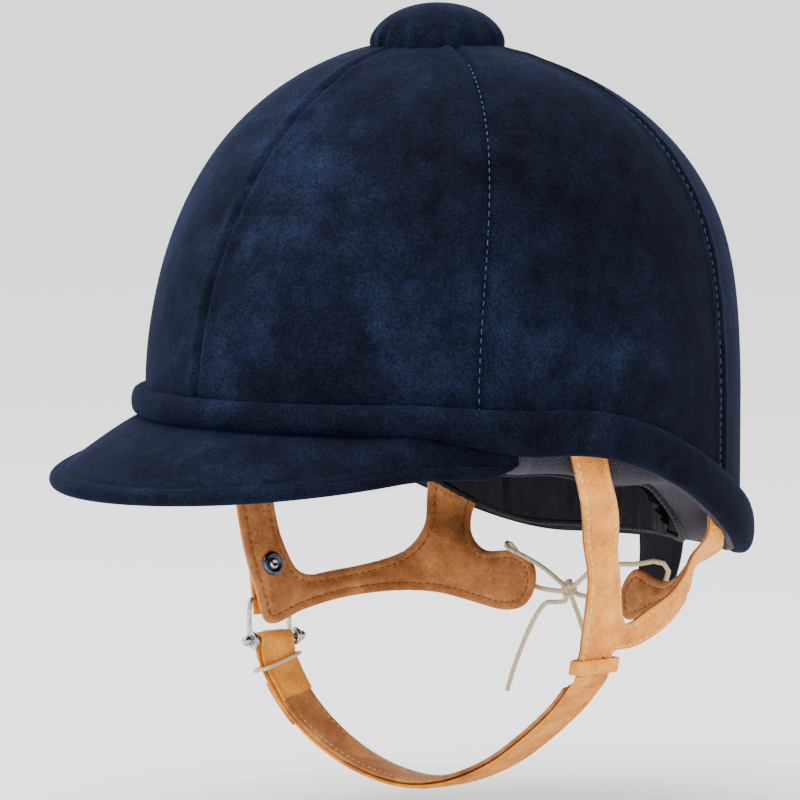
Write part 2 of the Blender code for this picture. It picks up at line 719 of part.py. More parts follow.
def build_link():
    """The wire link: a top bar in the flap's fold and two legs that hook the toggle bar."""
    hook = BAR_RADIUS + WIRE_RADIUS + 1.5 * GAP
    leg = []
    for angle in (205, 192, 180):
        turn = math.radians(angle)
        leg.append((BAR_AXIS.x + hook * math.cos(turn), LINK_HALF_WIDTH,
                    BAR_AXIS.z + hook * math.sin(turn)))
    leg += [(LINK_AXIS.x, LINK_HALF_WIDTH, LINK_AXIS.z - 9.0 * MM),
            (LINK_AXIS.x, LINK_HALF_WIDTH, LINK_AXIS.z - 2.0 * MM),
            (LINK_AXIS.x, LINK_HALF_WIDTH - 1.0 * MM, LINK_AXIS.z - 0.5 * MM),
            (LINK_AXIS.x, LINK_HALF_WIDTH - 2.5 * MM, LINK_AXIS.z)]
    route = [Vector((x, LINK_AXIS.y - y, z)) for x, y, z in leg]
    route += [Vector((x, LINK_AXIS.y + y, z)) for x, y, z in leg[::-1]]
    link = cord("wire_link", [point - LINK_AXIS for point in route], WIRE_RADIUS, steel())
    link.location = LINK_AXIS


def build_toggle():
    """The toggle bar with a ball at each end."""
    half = BAR_LENGTH / 2
    ball = [(BALL_RADIUS * math.cos(a), BALL_RADIUS * math.sin(a))
            for a in (math.radians(d) for d in (-56, -25, 0, 30, 60, 90))]
    upper = [(BAR_RADIUS, half - 1.9 * MM)] + [(r, half + h) for r, h in ball[1:]]
    lower = [(r, -h) for r, h in upper[::-1]]
    profile = [(max(r, 0.0), h) for r, h in lower + upper]
    profile[0] = (0.0, profile[0][1])
    profile[-1] = (0.0, profile[-1][1])
    bar = turned("toggle_bar", profile, steel(), sides=12)
    bar.data.transform(Matrix.Rotation(math.pi / 2, 4, "X"))
    bar.location = BAR_AXIS


CHIN_ROUTE = [(-84.9, -18.5, -104.5), (-84.7, -17.9, -109), (-83.6, -16.5, -114.5),
              (-81.5, -14.5, -121), (-77.5, -11.5, -129.5), (-71, -8, -138), (-62, -4, -146),
              (-50, 0, -152.6), (-35, 3, -156.6), (-18, 5, -157.4), (0, 8.5, -154),
              (20, 11, -145.6), (38, 12, -134.4), (56, 11.5, -121.6), (68, 9, -112.4),
              (78, 5.5, -105.6)]
CHIN_TAIL = [(-76.2, -11.5, -127), (-79.3, -14, -119.5), (-80.9, -16.5, -113), (-80.6, -18, -108.5)]


def build_chin_strap():
    """The strap over the toggle bar, its turned-back end, lining, backing and cord keeper."""
    main = smooth_route([Vector(p) * MM for p in CHIN_ROUTE], 34)
    tail = smooth_route([Vector(p) * MM for p in CHIN_TAIL], 7)
    bend = BAR_RADIUS + GAP + 0.1 * MM + CHIN_THICKNESS / 2
    over_bar = [BAR_AXIS + Vector((math.cos(a), 0, math.sin(a))) * bend
                for a in (math.radians(d) for d in range(0, 180, 30))]
    pieces = [ribbon("chin_strap", tail + over_bar + main, CHIN_WIDTH, CHIN_THICKNESS, leather())]
    lift = CHIN_THICKNESS / 2 + GAP
    lining = shift_route(main, lift + CHIN_LINING / 2)[8:-2]
    pieces.append(ribbon("chin_strap_lining", lining, CHIN_WIDTH, CHIN_LINING,
                         material("tan_lining", TAN_LINING, 0.7)))
    backing = shift_route(main, -lift - 0.75 * MM)[2:9]
    pieces.append(ribbon("chin_strap_backing", backing, CHIN_WIDTH - 1 * MM, 1.5 * MM, leather()))
    place = main[1].lerp(main[2], 0.6)
    along = (main[2] - main[1]).normalized()
    side = (Vector((0, 1, 0)) - along * along.y).normalized()
    lift_way = along.cross(side)
    half = CHIN_WIDTH / 2 + 1.5 * MM
    loop = []
    for step in range(24):
        turn = math.tau * step / 24
        across = math.copysign(abs(math.cos(turn)) ** 0.3, math.cos(turn)) * half
        through = math.copysign(abs(math.sin(turn)) ** 0.3, math.sin(turn)) * 4.7 * MM
        loop.append(side * across + lift_way * (through + 0.6 * MM))
    keeper = cord("cord_keeper", loop, 0.8 * MM, cord_cream(), closed=True)
    keeper.location = place
    for piece in pieces:
        set_origin(piece, CHIN_HINGE)


def build_left_keeper():
    """The leather band around the foot of the left guard's strap."""
    low, high = -101.6 * MM, -96.6 * MM
    sections = []
    for step in range(16):
        turn = math.tau * step / 16
        shape_y = math.copysign(abs(math.cos(turn)) ** 0.4, math.cos(turn))
        shape_x = math.copysign(abs(math.sin(turn)) ** 0.4, math.sin(turn))
        section = []
        for half_y, half_x, height in ((9.3, 2.4, low), (10.5, 3.6, low), (10.5, 3.6, high),
                                       (9.3, 2.4, high)):
            middle = COLLAR_WIDTH + COLLAR_FLARE * (height - COLLAR_LEVEL)
            section.append(Vector((middle + half_x * shape_x * MM,
                                   (5.0 + half_y * shape_y) * MM, height)))
        sections.append(section)
    loft("left_keeper", sections, leather(), ring=True)


KNOT = Vector((-7.0, 70.0, -85.0)) * MM
RIGHT_LACE = [(-12, 69, -82), (-20, 68, -77.5), (-30, 66, -73.3), (-38, 65.3, -71.1),
              (-43, 69, -69.6), (-44.5, 74.8, -72.4), (-42, 74.4, -79), (-36, 73.8, -84.5),
              (-29, 73.2, -86.6), (-21, 71.6, -86.6), (-12.2, 70.6, -86.4)]
LEFT_LACE = [(-2, 70, -82), (8, 68.5, -76), (19, 66.5, -72.8), (30, 65.4, -71.3),
             (38, 65.4, -70.6), (43, 69, -69.2), (44.5, 75.4, -72.0), (42, 74.8, -80),
             (36, 73.8, -85.5), (29, 73.2, -87.6), (18, 72, -88), (-1.8, 70.6, -86.8)]
FRONT_TAIL = [(-9.5, 70.3, -89.8), (-14.5, 70.6, -91), (-20.5, 70.9, -91.4), (-26, 71, -95.4),
              (-32.6, 71, -104.5), (-38, 71, -114), (-42.2, 71, -122.5), (-45, 71, -129.5)]
REAR_TAIL = [(-5, 70.6, -90), (-3, 71.2, -94.5), (0, 71.5, -101), (2.5, 71.5, -109),
             (3.5, 71.2, -119), (3.6, 71, -126)]


def build_lace():
    """The cream lace that ties the two guards at the nape: two loops, a knot, two tails."""
    for name, points, count in (("lace_right", RIGHT_LACE, 22), ("lace_left", LEFT_LACE, 26),
                                ("lace_tail_front", FRONT_TAIL, 16),
                                ("lace_tail_rear", REAR_TAIL, 11)):
        route = smooth_route([Vector(p) * MM for p in points], count)
        cord(name, route, LACE_RADIUS, cord_cream())
    profile = [(3.9 * math.cos(a), 3.6 * math.sin(a))
               for a in (math.radians(d) for d in range(-90, 91, 30))]
    profile = [(max(r, 0.0) * MM, h * MM) for r, h in profile]
    knot = turned("lace_knot", profile, cord_cream(), sides=12)
    knot.location = KNOT


def main():
    """Build the whole helmet."""
    clear_scene()
    build_crown_panels()
    shell, liner = build_shell_and_liners()
    build_button()
    build_rim_band()
    headband = build_headband()
    build_peak()
    panels = build_harness()
    nape = build_nape_strap()
    straps = {"front_left": panels["left_guard"], "rear_left": panels["left_guard"],
              "front_right": panels["right_guard"], "rear_right": panels["right_guard"],
              "nape": (nape,)}
    build_rivets(shell, liner, headband, straps)
    build_stud(panels["right_guard"])
    build_flap()
    build_link()
    build_toggle()
    build_chin_strap()
    build_left_keeper()
    build_lace()


main()
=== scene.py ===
"""Looks of a velvet riding helmet with a leather harness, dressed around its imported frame."""

import logging
import math
from dataclasses import dataclass, field
from enum import Enum
from typing import Callable, Dict, List, Sequence, Tuple

import bpy
import numpy as np
from mathutils import Matrix, Vector, noise


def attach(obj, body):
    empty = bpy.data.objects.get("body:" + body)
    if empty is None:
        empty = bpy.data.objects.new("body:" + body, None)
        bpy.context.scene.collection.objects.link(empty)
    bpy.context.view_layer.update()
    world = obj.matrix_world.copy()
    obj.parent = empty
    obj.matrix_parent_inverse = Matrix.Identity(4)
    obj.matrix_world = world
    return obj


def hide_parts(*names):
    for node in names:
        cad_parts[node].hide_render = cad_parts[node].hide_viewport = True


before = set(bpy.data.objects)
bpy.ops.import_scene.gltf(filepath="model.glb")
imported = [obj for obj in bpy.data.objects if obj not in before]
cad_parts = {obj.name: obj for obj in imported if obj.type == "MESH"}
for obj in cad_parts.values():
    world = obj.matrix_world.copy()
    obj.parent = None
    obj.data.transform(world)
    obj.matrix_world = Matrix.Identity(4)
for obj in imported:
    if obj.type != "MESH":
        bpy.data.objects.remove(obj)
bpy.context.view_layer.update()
MM = 0.001
LOG = logging.getLogger("riding_helmet")

# Sizes that several pieces share: the harness leather and its gap, and the toggle bar.
HALF_SPLIT = 0.15 * MM
LEATHER = 1.3 * MM
TOGGLE_AXIS = (-82.5, -18.5, -104.5)
TOGGLE_RADIUS = 1.2

Place = Callable[[float, float], Vector]
Colour = Tuple[float, float, float]


class Body(Enum):
    """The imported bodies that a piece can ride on."""

    HELMET = "helmet"
    CHIN = "chin_strap"
    TOGGLE = "toggle_bar"
    LINK = "wire_link"
    FLAP = "stud_flap"


class Side(Enum):
    """The wearer's two sides, as the sign of X."""

    RIGHT = -1
    LEFT = 1


# ---------------------------------------------------------------- small sums


def ramp(value: float, low: float, high: float) -> float:
    """Give a smooth step.

    Args:
        value: Where to read the step.
        low: Where it is still 0.
        high: Where it has reached 1.

    Returns:
        The step's height, from 0 to 1.
    """
    share = min(max((value - low) / (high - low), 0.0), 1.0)
    return share * share * (3.0 - 2.0 * share)


def bump(distance: float, width: float) -> float:
    """Give a soft hill of height 1 at distance 0.

    Args:
        distance: Distance from the hill's middle.
        width: The hill's half width, in the same unit.

    Returns:
        The hill's height there.
    """
    return math.exp(-(distance / width) ** 2)


def signed_power(value: float, power: float) -> float:
    """Raise a value's size to a power and keep its sign."""
    return math.copysign(abs(value) ** power, value)


def rumple(place: Vector, grain: float, seed: float = 0.0) -> float:
    """Read smooth noise.

    Args:
        place: A point, in metres.
        grain: The size of one lump, in metres.
        seed: Moves the noise, so that pieces differ.

    Returns:
        A value from about -1 to 1.
    """
    return noise.noise(place / grain + Vector((seed, seed * 0.7, -seed)))


def smooth_route(points: Sequence[Sequence[float]], count: int,
                 closed: bool = False) -> List[Vector]:
    """Run a smooth curve through points and read it at even steps.

    Args:
        points: The points, in millimetres.
        count: How many points to give back.
        closed: Whether the last point joins the first.

    Returns:
        The curve's points, in metres.
    """
    knots = [Vector(point) * MM for point in points]
    if closed:
        knots = [knots[-1]] + knots + knots[:2]
    else:
        knots = [knots[0] * 2 - knots[1]] + knots + [knots[-1] * 2 - knots[-2]]
    dense = []
    for a, b, c, d in zip(knots, knots[1:], knots[2:], knots[3:]):
        for step in range(12):
            t = step / 12
            dense.append(0.5 * (2 * b + (c - a) * t + (2 * a - 5 * b + 4 * c - d) * t ** 2
                                + (3 * b - a - 3 * c + d) * t ** 3))
    dense.append(knots[-2])
    lengths = np.cumsum([0.0] + [(q - p).length for p, q in zip(dense, dense[1:])])
    wanted = np.linspace(0.0, lengths[-1], count + 1 if closed else count)
    if closed:
        wanted = wanted[:-1]
    axes = [np.interp(wanted, lengths, [point[k] for point in dense])
            for k in range(len(dense[0]))]
    return [Vector(values) for values in zip(*axes)]


# ---------------------------------------------------------------- bench work


def deselect_all() -> None:
    """Leave nothing selected, in object mode."""
    if bpy.context.mode != "OBJECT":
        bpy.ops.object.mode_set(mode="OBJECT")
    bpy.ops.object.select_all(action="DESELECT")


def pick(item: bpy.types.Object) -> None:
    """Make one object the only selected and the active one."""
    deselect_all()
    item.select_set(True)
    bpy.context.view_layer.objects.active = item


def smooth(item: bpy.types.Object, angle: float = 50.0) -> None:
    """Shade an object smooth, with sharp edges past an angle in degrees."""
    pick(item)
    bpy.ops.object.shade_smooth_by_angle(angle=math.radians(angle))


def heal(item: bpy.types.Object, cap: bool) -> None:
    """Merge doubles, close the ends and turn the faces outwards.

    Args:
        item: The mesh object.
        cap: Whether open ends are filled.
    """
    pick(item)
    bpy.ops.object.mode_set(mode="EDIT")
    bpy.ops.mesh.select_all(action="SELECT")
    bpy.ops.mesh.remove_doubles(threshold=1e-6)
    if cap:
        bpy.ops.mesh.fill_holes(sides=0)
    bpy.ops.mesh.select_all(action="SELECT")
    bpy.ops.mesh.normals_make_consistent(inside=False)
    bpy.ops.object.mode_set(mode="OBJECT")


def wrapped(name: str, columns: int, rows: int, place: Place, cap: bool = False,
            span: Tuple[float, float] = (1.0, 1.0)) -> bpy.types.Object:
    """Wrap a grid onto a shape whose cross-section is closed.

    Args:
        name: The new object's name.
        columns: Faces along the run.
        rows: Faces round the section.
        place: Gives the point at a share of the run and a share of the section.
        cap: Whether the run's ends are closed; a ring needs none.
        span: The run's and the section's real lengths, for the weave's UV map.

    Returns:
        The finished mesh object.
    """
    deselect_all()
    bpy.ops.mesh.primitive_grid_add(x_subdivisions=columns, y_subdivisions=rows, size=1.0,
                                    calc_uvs=True)
    item = bpy.context.active_object
    item.name = name
    for vert in item.data.vertices:
        vert.co = place(vert.co.x + 0.5, vert.co.y + 0.5)
    for corner in item.data.uv_layers[0].data:
        corner.uv = (corner.uv[0] * span[0], corner.uv[1] * span[1])
    heal(item, cap)
    smooth(item)
    return item


def tube(name: str, points: Sequence[Vector], radius: float,
         closed: bool = False) -> bpy.types.Object:
    """Lay a round cord or wire along points.

    Args:
        name: The new object's name.
        points: The route, in metres.
        radius: The cord's radius, in metres.
        closed: Whether the ends join.

    Returns:
        A curve object with one spline.
    """
    curve = bpy.data.curves.new(name, "CURVE")
    curve.dimensions = "3D"
    curve.bevel_depth = radius
    curve.bevel_resolution = 3
    curve.use_fill_caps = not closed
    spline = curve.splines.new("POLY")
    spline.points.add(len(points) - 1)
    for knot, point in zip(spline.points, points):
        knot.co = (*point, 1.0)
    spline.use_cyclic_u = closed
    item = bpy.data.objects.new(name, curve)
    bpy.context.scene.collection.objects.link(item)
    return item


def as_mesh(item: bpy.types.Object) -> bpy.types.Object:
    """Turn a curve object into a mesh object."""
    pick(item)
    bpy.ops.object.convert(target="MESH")
    made = bpy.context.active_object
    smooth(made)
    return made


def joined(name: str, items: Sequence[bpy.types.Object]) -> bpy.types.Object:
    """Join mesh objects into one.

    Args:
        name: The joined object's name.
        items: The objects to join.

    Returns:
        The joined object.
    """
    deselect_all()
    for item in items:
        item.select_set(True)
    bpy.context.view_layer.objects.active = items[0]
    bpy.ops.object.join()
    made = bpy.context.active_object
    made.name = name
    return made


def stitches(name: str, ends: Sequence[Tuple[Vector, Vector]], thread: float
             ) -> bpy.types.Object:
    """Copy one stitch to many places.

    Args:
        name: The name of the joined stitches.
        ends: Each stitch's two ends, in metres.
        thread: The thread's radius, in metres.

    Returns:
        One mesh object that holds every stitch.
    """
    deselect_all()
    bpy.ops.mesh.primitive_uv_sphere_add(segments=6, ring_count=4, radius=0.5)
    first = bpy.context.active_object
    smooth(first, 180.0)
    copies = []
    for start, stop in ends:
        copy = first.copy()
        copy.data = first.data.copy()
        run = stop - start
        turn = Vector((0, 0, 1)).rotation_difference(run).to_matrix().to_4x4()
        size = Matrix.Diagonal((2 * thread, 2 * thread, run.length, 1.0))
        copy.data.transform(Matrix.Translation((start + stop) / 2) @ turn @ size)
        bpy.context.scene.collection.objects.link(copy)
        copies.append(copy)
    bpy.data.objects.remove(first, do_unlink=True)
    return joined(name, copies)


def dress(item: bpy.types.Object, finish: bpy.types.Material, body: Body,
          stands_for: Sequence[str] = ()) -> bpy.types.Object:
    """Give a piece its finish, its body and the nodes that it stands for.

    Args:
        item: The piece.
        finish: Its material.
        body: The body that it rides on.
        stands_for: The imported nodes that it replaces.

    Returns:
        The same piece.
    """
    item.data.materials.clear()
    item.data.materials.append(finish)
    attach(item, body.value)
    if stands_for:
        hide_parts(*stands_for)
    LOG.info("%s rides on %s", item.name, body.value)
    return item


# ---------------------------------------------------------------- finishes


class Recipe:
    """A material in the making: its node tree, its shader and its coordinates."""

    def __init__(self, name: str, colour: Colour, roughness: float) -> None:
        """Start a Principled material.

        Args:
            name: The material's name.
            colour: Its plain colour.
            roughness: Its plain roughness.
        """
        self.material = bpy.data.materials.new(name)
        self.material.use_nodes = True
        self.tree = self.material.node_tree
        self.shader = self.tree.nodes["Principled BSDF"]
        self.set("Base Color", (*colour, 1.0))
        self.set("Roughness", roughness)
        self.coords = self.tree.nodes.new("ShaderNodeTexCoord")

    def set(self, socket: str, value: object) -> None:
        """Set one of the shader's own sockets."""
        self.shader.inputs[socket].default_value = value

    def link(self, start: bpy.types.NodeSocket, stop: bpy.types.NodeSocket) -> None:
        """Join two sockets."""
        self.tree.links.new(start, stop)

    def place(self, source: str, scale: Tuple[float, float, float], turn: float = 0.0
              ) -> bpy.types.NodeSocket:
        """Scale and turn the coordinates.

        Args:
            source: "Object" or "UV".
            scale: How many pattern units go in a metre along each axis.
            turn: A turn about Z, in degrees.

        Returns:
            The placed coordinates.
        """
        mapping = self.tree.nodes.new("ShaderNodeMapping")
        mapping.inputs["Scale"].default_value = scale
        mapping.inputs["Rotation"].default_value = (0.0, 0.0, math.radians(turn))
        self.link(self.coords.outputs[source], mapping.inputs["Vector"])
        return mapping.outputs["Vector"]

    def cloud(self, scale: float, detail: float = 3.0, roughness: float = 0.55
              ) -> bpy.types.NodeSocket:
        """Make noise on the object's coordinates, with a number of lumps in a metre."""
        node = self.tree.nodes.new("ShaderNodeTexNoise")
        node.inputs["Scale"].default_value = scale
        node.inputs["Detail"].default_value = detail
        node.inputs["Roughness"].default_value = roughness
        self.link(self.coords.outputs["Object"], node.inputs["Vector"])
        return node.outputs["Fac"]

    def cells(self, scale: float) -> bpy.types.NodeSocket:
        """Make rounded pores on the object's coordinates."""
        node = self.tree.nodes.new("ShaderNodeTexVoronoi")
        node.feature = "SMOOTH_F1"
        node.inputs["Scale"].default_value = scale
        self.link(self.coords.outputs["Object"], node.inputs["Vector"])
        return node.outputs["Distance"]

    def leaning(self, amount: bpy.types.NodeSocket, slope: Colour) -> bpy.types.NodeSocket:
        """Make an amount grow along a direction through the object.

        Args:
            amount: The amount to start from.
            slope: How much it grows in a metre along each axis.

        Returns:
            The changed amount.
        """
        slant = self.tree.nodes.new("ShaderNodeVectorMath")
        slant.operation = "DOT_PRODUCT"
        slant.inputs[1].default_value = slope
        self.link(self.coords.outputs["Object"], slant.inputs[0])
        total = self.tree.nodes.new("ShaderNodeMath")
        total.operation = "ADD"
        self.link(amount, total.inputs[0])
        self.link(slant.outputs["Value"], total.inputs[1])
        return total.outputs["Value"]

    def waves(self, vector: bpy.types.NodeSocket) -> bpy.types.NodeSocket:
        """Make straight ridges across X, one for each unit of the coordinates."""
        node = self.tree.nodes.new("ShaderNodeTexWave")
        node.inputs["Scale"].default_value = 1.0
        node.inputs["Distortion"].default_value = 0.0
        self.link(vector, node.inputs["Vector"])
        return node.outputs["Fac"]

    def shades(self, amount: bpy.types.NodeSocket, stops: Sequence[Tuple[float, Colour]]
               ) -> bpy.types.NodeSocket:
        """Turn an amount into a colour.

        Args:
            amount: A value from 0 to 1.
            stops: Places on the ramp with their colours.

        Returns:
            The colour.
        """
        node = self.tree.nodes.new("ShaderNodeValToRGB")
        points = node.color_ramp.elements
        while len(points) < len(stops):
            points.new(0.5)
        for point, (where, colour) in zip(points, stops):
            point.position = where
            point.color = (*colour, 1.0)
        self.link(amount, node.inputs["Fac"])
        return node.outputs["Color"]

    def mix(self, first: bpy.types.NodeSocket, second: bpy.types.NodeSocket,
            share: float, how: str = "MIX") -> bpy.types.NodeSocket:
        """Mix two colours.

        Args:
            first: The lower colour.
            second: The upper colour.
            share: How much of the upper one shows.
            how: The blend type.

        Returns:
            The mixed colour.
        """
        node = self.tree.nodes.new("ShaderNodeMix")
        node.data_type = "RGBA"
        node.blend_type = how
        node.inputs["Factor"].default_value = share
        self.link(first, node.inputs["A"])
        self.link(second, node.inputs["B"])
        return node.outputs["Result"]

    def raise_by(self, height: bpy.types.NodeSocket, distance: float, strength: float) -> None:
        """Add relief on top of what the shader has.

        Args:
            height: The relief, from 0 to 1.
            distance: Its depth, in metres.
            strength: How much of it shows.
        """
        node = self.tree.nodes.new("ShaderNodeBump")
        node.inputs["Distance"].default_value = distance
        node.inputs["Strength"].default_value = strength
        self.link(height, node.inputs["Height"])
        normal = self.shader.inputs["Normal"]
        if normal.links:
            self.link(normal.links[0].from_socket, node.inputs["Normal"])
        self.link(node.outputs["Normal"], normal)

    def sheen(self, weight: float, roughness: float, tint: Colour) -> None:
        """Give the shader a pile's sheen."""
        self.set("Sheen Weight", weight)
        self.set("Sheen Roughness", roughness)
        self.set("Sheen Tint", (*tint, 1.0))


@dataclass(frozen=True)
class Velvet:
    """A short navy pile, lighter and darker in random patches, with painted light that grows towards
    the front, the top and the wearer's right.
    """

    name: str = "navy_velvet"
    deep: Colour = (0.0023, 0.0027, 0.0056)
    middle: Colour = (0.0044, 0.0062, 0.0140)
    light: Colour = (0.0120, 0.0190, 0.0460)
    # Painted light: how fast the patches lighten in a metre towards the front, the top and the
    # wearer's right, where the key and top lamps stand.
    painted_light_slope: Colour = (-0.30, -0.80, 0.60)

    def make(self) -> bpy.types.Material:
        """Build the material."""
        made = Recipe(self.name, self.middle, 0.9)
        # The patches carry painted light from the slope: they are lighter on the lamp-lit front and
        # top.
        patches = made.shades(made.leaning(made.cloud(15.0, 6.0, 0.66), self.painted_light_slope),
                              [(0.38, self.deep), (0.61, self.middle), (0.90, self.light)])
        strokes = made.shades(made.cloud(75.0, 4.0, 0.7),
                              [(0.35, (0.55, 0.55, 0.55)), (0.7, (1.5, 1.55, 1.65))])
        speckle = made.shades(made.cloud(1100.0, 2.0),
                              [(0.3, (0.35, 0.35, 0.35)), (0.75, (1.7, 1.75, 1.9))])
        strokes_and_painted_light = made.mix(patches, strokes, 0.8, "MULTIPLY")
        made.link(made.mix(strokes_and_painted_light, speckle, 0.85, "MULTIPLY"), made.shader.inputs["Base Color"])
        made.set("Specular IOR Level", 0.04)
        made.sheen(0.24, 0.32, (0.040, 0.080, 0.260))
        made.raise_by(made.cloud(2200.0, 2.0), 0.0004, 0.6)
        made.raise_by(made.cloud(120.0, 3.0), 0.0012, 0.35)
        return made.material


@dataclass(frozen=True)
class Leather:
    """Soft tan leather with a speckled grain and fine pores."""

    name: str
    dark: Colour
    middle: Colour
    light: Colour
    roughness: float = 0.58

    def make(self) -> bpy.types.Material:
        """Build the material."""
        made = Recipe(self.name, self.middle, self.roughness)
        patches = made.shades(made.cloud(70.0, 5.0, 0.65),
                              [(0.3, self.dark), (0.5, self.middle), (0.72, self.light)])
        speckle = made.shades(made.cells(900.0),
                              [(0.1, (0.72, 0.66, 0.6)), (0.5, (1.08, 1.07, 1.04))])
        made.link(made.mix(patches, speckle, 0.6, "MULTIPLY"), made.shader.inputs["Base Color"])
        made.set("Specular IOR Level", 0.25)
        made.raise_by(made.cells(850.0), 0.0003, 0.6)
        made.raise_by(made.cloud(220.0, 5.0), 0.0012, 0.75)
        return made.material


@dataclass(frozen=True)
class Weave:
    """A cloth with ridges in one or two directions."""

    name: str
    low: Colour
    high: Colour
    pitch: float
    slant: float
    crossed: bool = True
    sheen_tint: Colour = (0.3, 0.3, 0.35)
    sheen_weight: float = 0.15

    def make(self) -> bpy.types.Material:
        """Build the material."""
        made = Recipe(self.name, self.high, 0.85)
        rate = 1.0 / (self.pitch * 20.0 / math.tau)
        ribs = made.waves(made.place("UV", (rate, rate, rate), self.slant))
        colour = made.shades(ribs, [(0.1, self.low), (0.8, self.high)])
        if self.crossed:
            across = made.waves(made.place("UV", (rate * 1.6, rate * 1.6, rate), self.slant - 90))
            tone = made.shades(across, [(0.1, (0.55, 0.55, 0.55)), (0.9, (1.2, 1.2, 1.2))])
            colour = made.mix(colour, tone, 0.7, "MULTIPLY")
            made.raise_by(across, self.pitch * 0.25, 0.4)
        flecks = made.shades(made.cloud(1500.0, 2.0),
                             [(0.35, (0.45, 0.45, 0.45)), (0.68, (1.6, 1.6, 1.6))])
        made.link(made.mix(colour, flecks, 0.9, "MULTIPLY"), made.shader.inputs["Base Color"])
        made.raise_by(ribs, self.pitch * 0.45, 0.35)
        made.raise_by(made.cloud(140.0, 3.0), 0.0010, 0.3)
        made.sheen(self.sheen_weight, 0.5, self.sheen_tint)
        made.set("Specular IOR Level", 0.2)
        return made.material


@dataclass(frozen=True)
class Lining:
    """Plain dark lining cloth with a faint shine and a fine grain."""

    name: str = "lining_cloth"
    low: Colour = (0.0025, 0.0028, 0.0055)
    high: Colour = (0.0085, 0.0095, 0.0175)

    def make(self) -> bpy.types.Material:
        """Build the material."""
        made = Recipe(self.name, self.high, 0.6)
        tone = made.shades(made.cloud(90.0, 4.0), [(0.3, self.low), (0.75, self.high)])
        made.link(tone, made.shader.inputs["Base Color"])
        made.set("Specular IOR Level", 0.16)
        made.raise_by(made.cloud(1800.0, 2.0), 0.0002, 0.5)
        made.raise_by(made.cloud(220.0, 3.0), 0.0010, 0.4)
        return made.material


@dataclass(frozen=True)
class Steel:
    """Drawn steel, lightly worn and a little dull in places."""

    name: str
    colour: Colour
    roughness: float

    def make(self) -> bpy.types.Material:
        """Build the material."""
        made = Recipe(self.name, self.colour, self.roughness)
        made.set("Metallic", 1.0)
        wear = made.shades(made.cloud(500.0, 4.0),
                           [(0.35, tuple(0.45 * c for c in self.colour)), (0.6, self.colour)])
        made.link(wear, made.shader.inputs["Base Color"])
        made.raise_by(made.cloud(1400.0, 3.0), 0.00015, 0.4)
        return made.material


@dataclass(frozen=True)
class Thread:
    """Twisted thread or cord with loose fibres."""

    name: str
    low: Colour
    high: Colour
    grain: float = 1800.0

    def make(self) -> bpy.types.Material:
        """Build the material."""
        made = Recipe(self.name, self.high, 0.85)
        tone = made.shades(made.cloud(self.grain, 3.0), [(0.35, self.low), (0.62, self.high)])
        made.link(tone, made.shader.inputs["Base Color"])
        made.set("Specular IOR Level", 0.2)
        made.raise_by(made.cloud(self.grain, 3.0), 0.0004, 0.7)
        return made.material


@dataclass(frozen=True)
class Grainy:
    """A hidden stiff part with a plain speckled surface."""

    name: str
    low: Colour
    high: Colour
    grain: float

    def make(self) -> bpy.types.Material:
        """Build the material."""
        made = Recipe(self.name, self.high, 0.75)
        tone = made.shades(made.cloud(self.grain, 4.0), [(0.35, self.low), (0.65, self.high)])
        made.link(tone, made.shader.inputs["Base Color"])
        made.raise_by(made.cells(self.grain), 0.0004, 0.4)
        return made.material


class Finishes:
    """Every finish on the helmet, made once."""

    def __init__(self) -> None:
        """Make the finishes."""
        self.velvet = Velvet().make()
        self.leather = Leather("tan_leather", (0.46, 0.140, 0.014), (0.75, 0.265, 0.024),
                               (0.94, 0.42, 0.052)).make()
        # The lining leather is darker than the outer leather: partly its own tone, partly painted
        # shade, since these faces lie on the inside, against the head.
        self.leather_back = Leather("tan_lining", (0.24, 0.078, 0.020), (0.42, 0.150, 0.042),
                                    (0.62, 0.270, 0.085), 0.68).make()
        self.twill = Weave("woven_grey", (0.020, 0.017, 0.027), (0.036, 0.031, 0.048),
                           1.2 * MM, 62.0).make()
        self.webbing = Weave("nape_webbing", (0.003, 0.004, 0.009), (0.012, 0.016, 0.030),
                             1.1 * MM, 0.0).make()
        self.lining = Lining().make()
        self.steel = Steel("steel_wire", (0.62, 0.60, 0.57), 0.24).make()
        self.dark_steel = Steel("stud_steel", (0.10, 0.13, 0.19), 0.34).make()
        self.cord = Thread("cream_cord", (0.50, 0.36, 0.20), (0.80, 0.66, 0.45)).make()
        self.stitch = Thread("cream_thread", (0.62, 0.46, 0.27), (0.84, 0.68, 0.44)).make()
        self.tan_stitch = Thread("tan_thread", (0.45, 0.24, 0.09), (0.72, 0.45, 0.20)).make()
        self.dark_stitch = Thread("brown_thread", (0.12, 0.045, 0.015), (0.30, 0.13, 0.045)).make()
        self.blue_stitch = Thread("blue_thread", (0.012, 0.022, 0.055), (0.055, 0.085, 0.17)).make()
        self.shell = Grainy("shell_laminate", (0.006, 0.006, 0.008), (0.014, 0.014, 0.018), 400).make()
        self.foam = Grainy("foam", (0.66, 0.66, 0.64), (0.78, 0.78, 0.76), 900).make()
        self.board = Grainy("core_board", (0.22, 0.17, 0.11), (0.34, 0.27, 0.19), 700).make()


# ---------------------------------------------------------------- the helmet's form


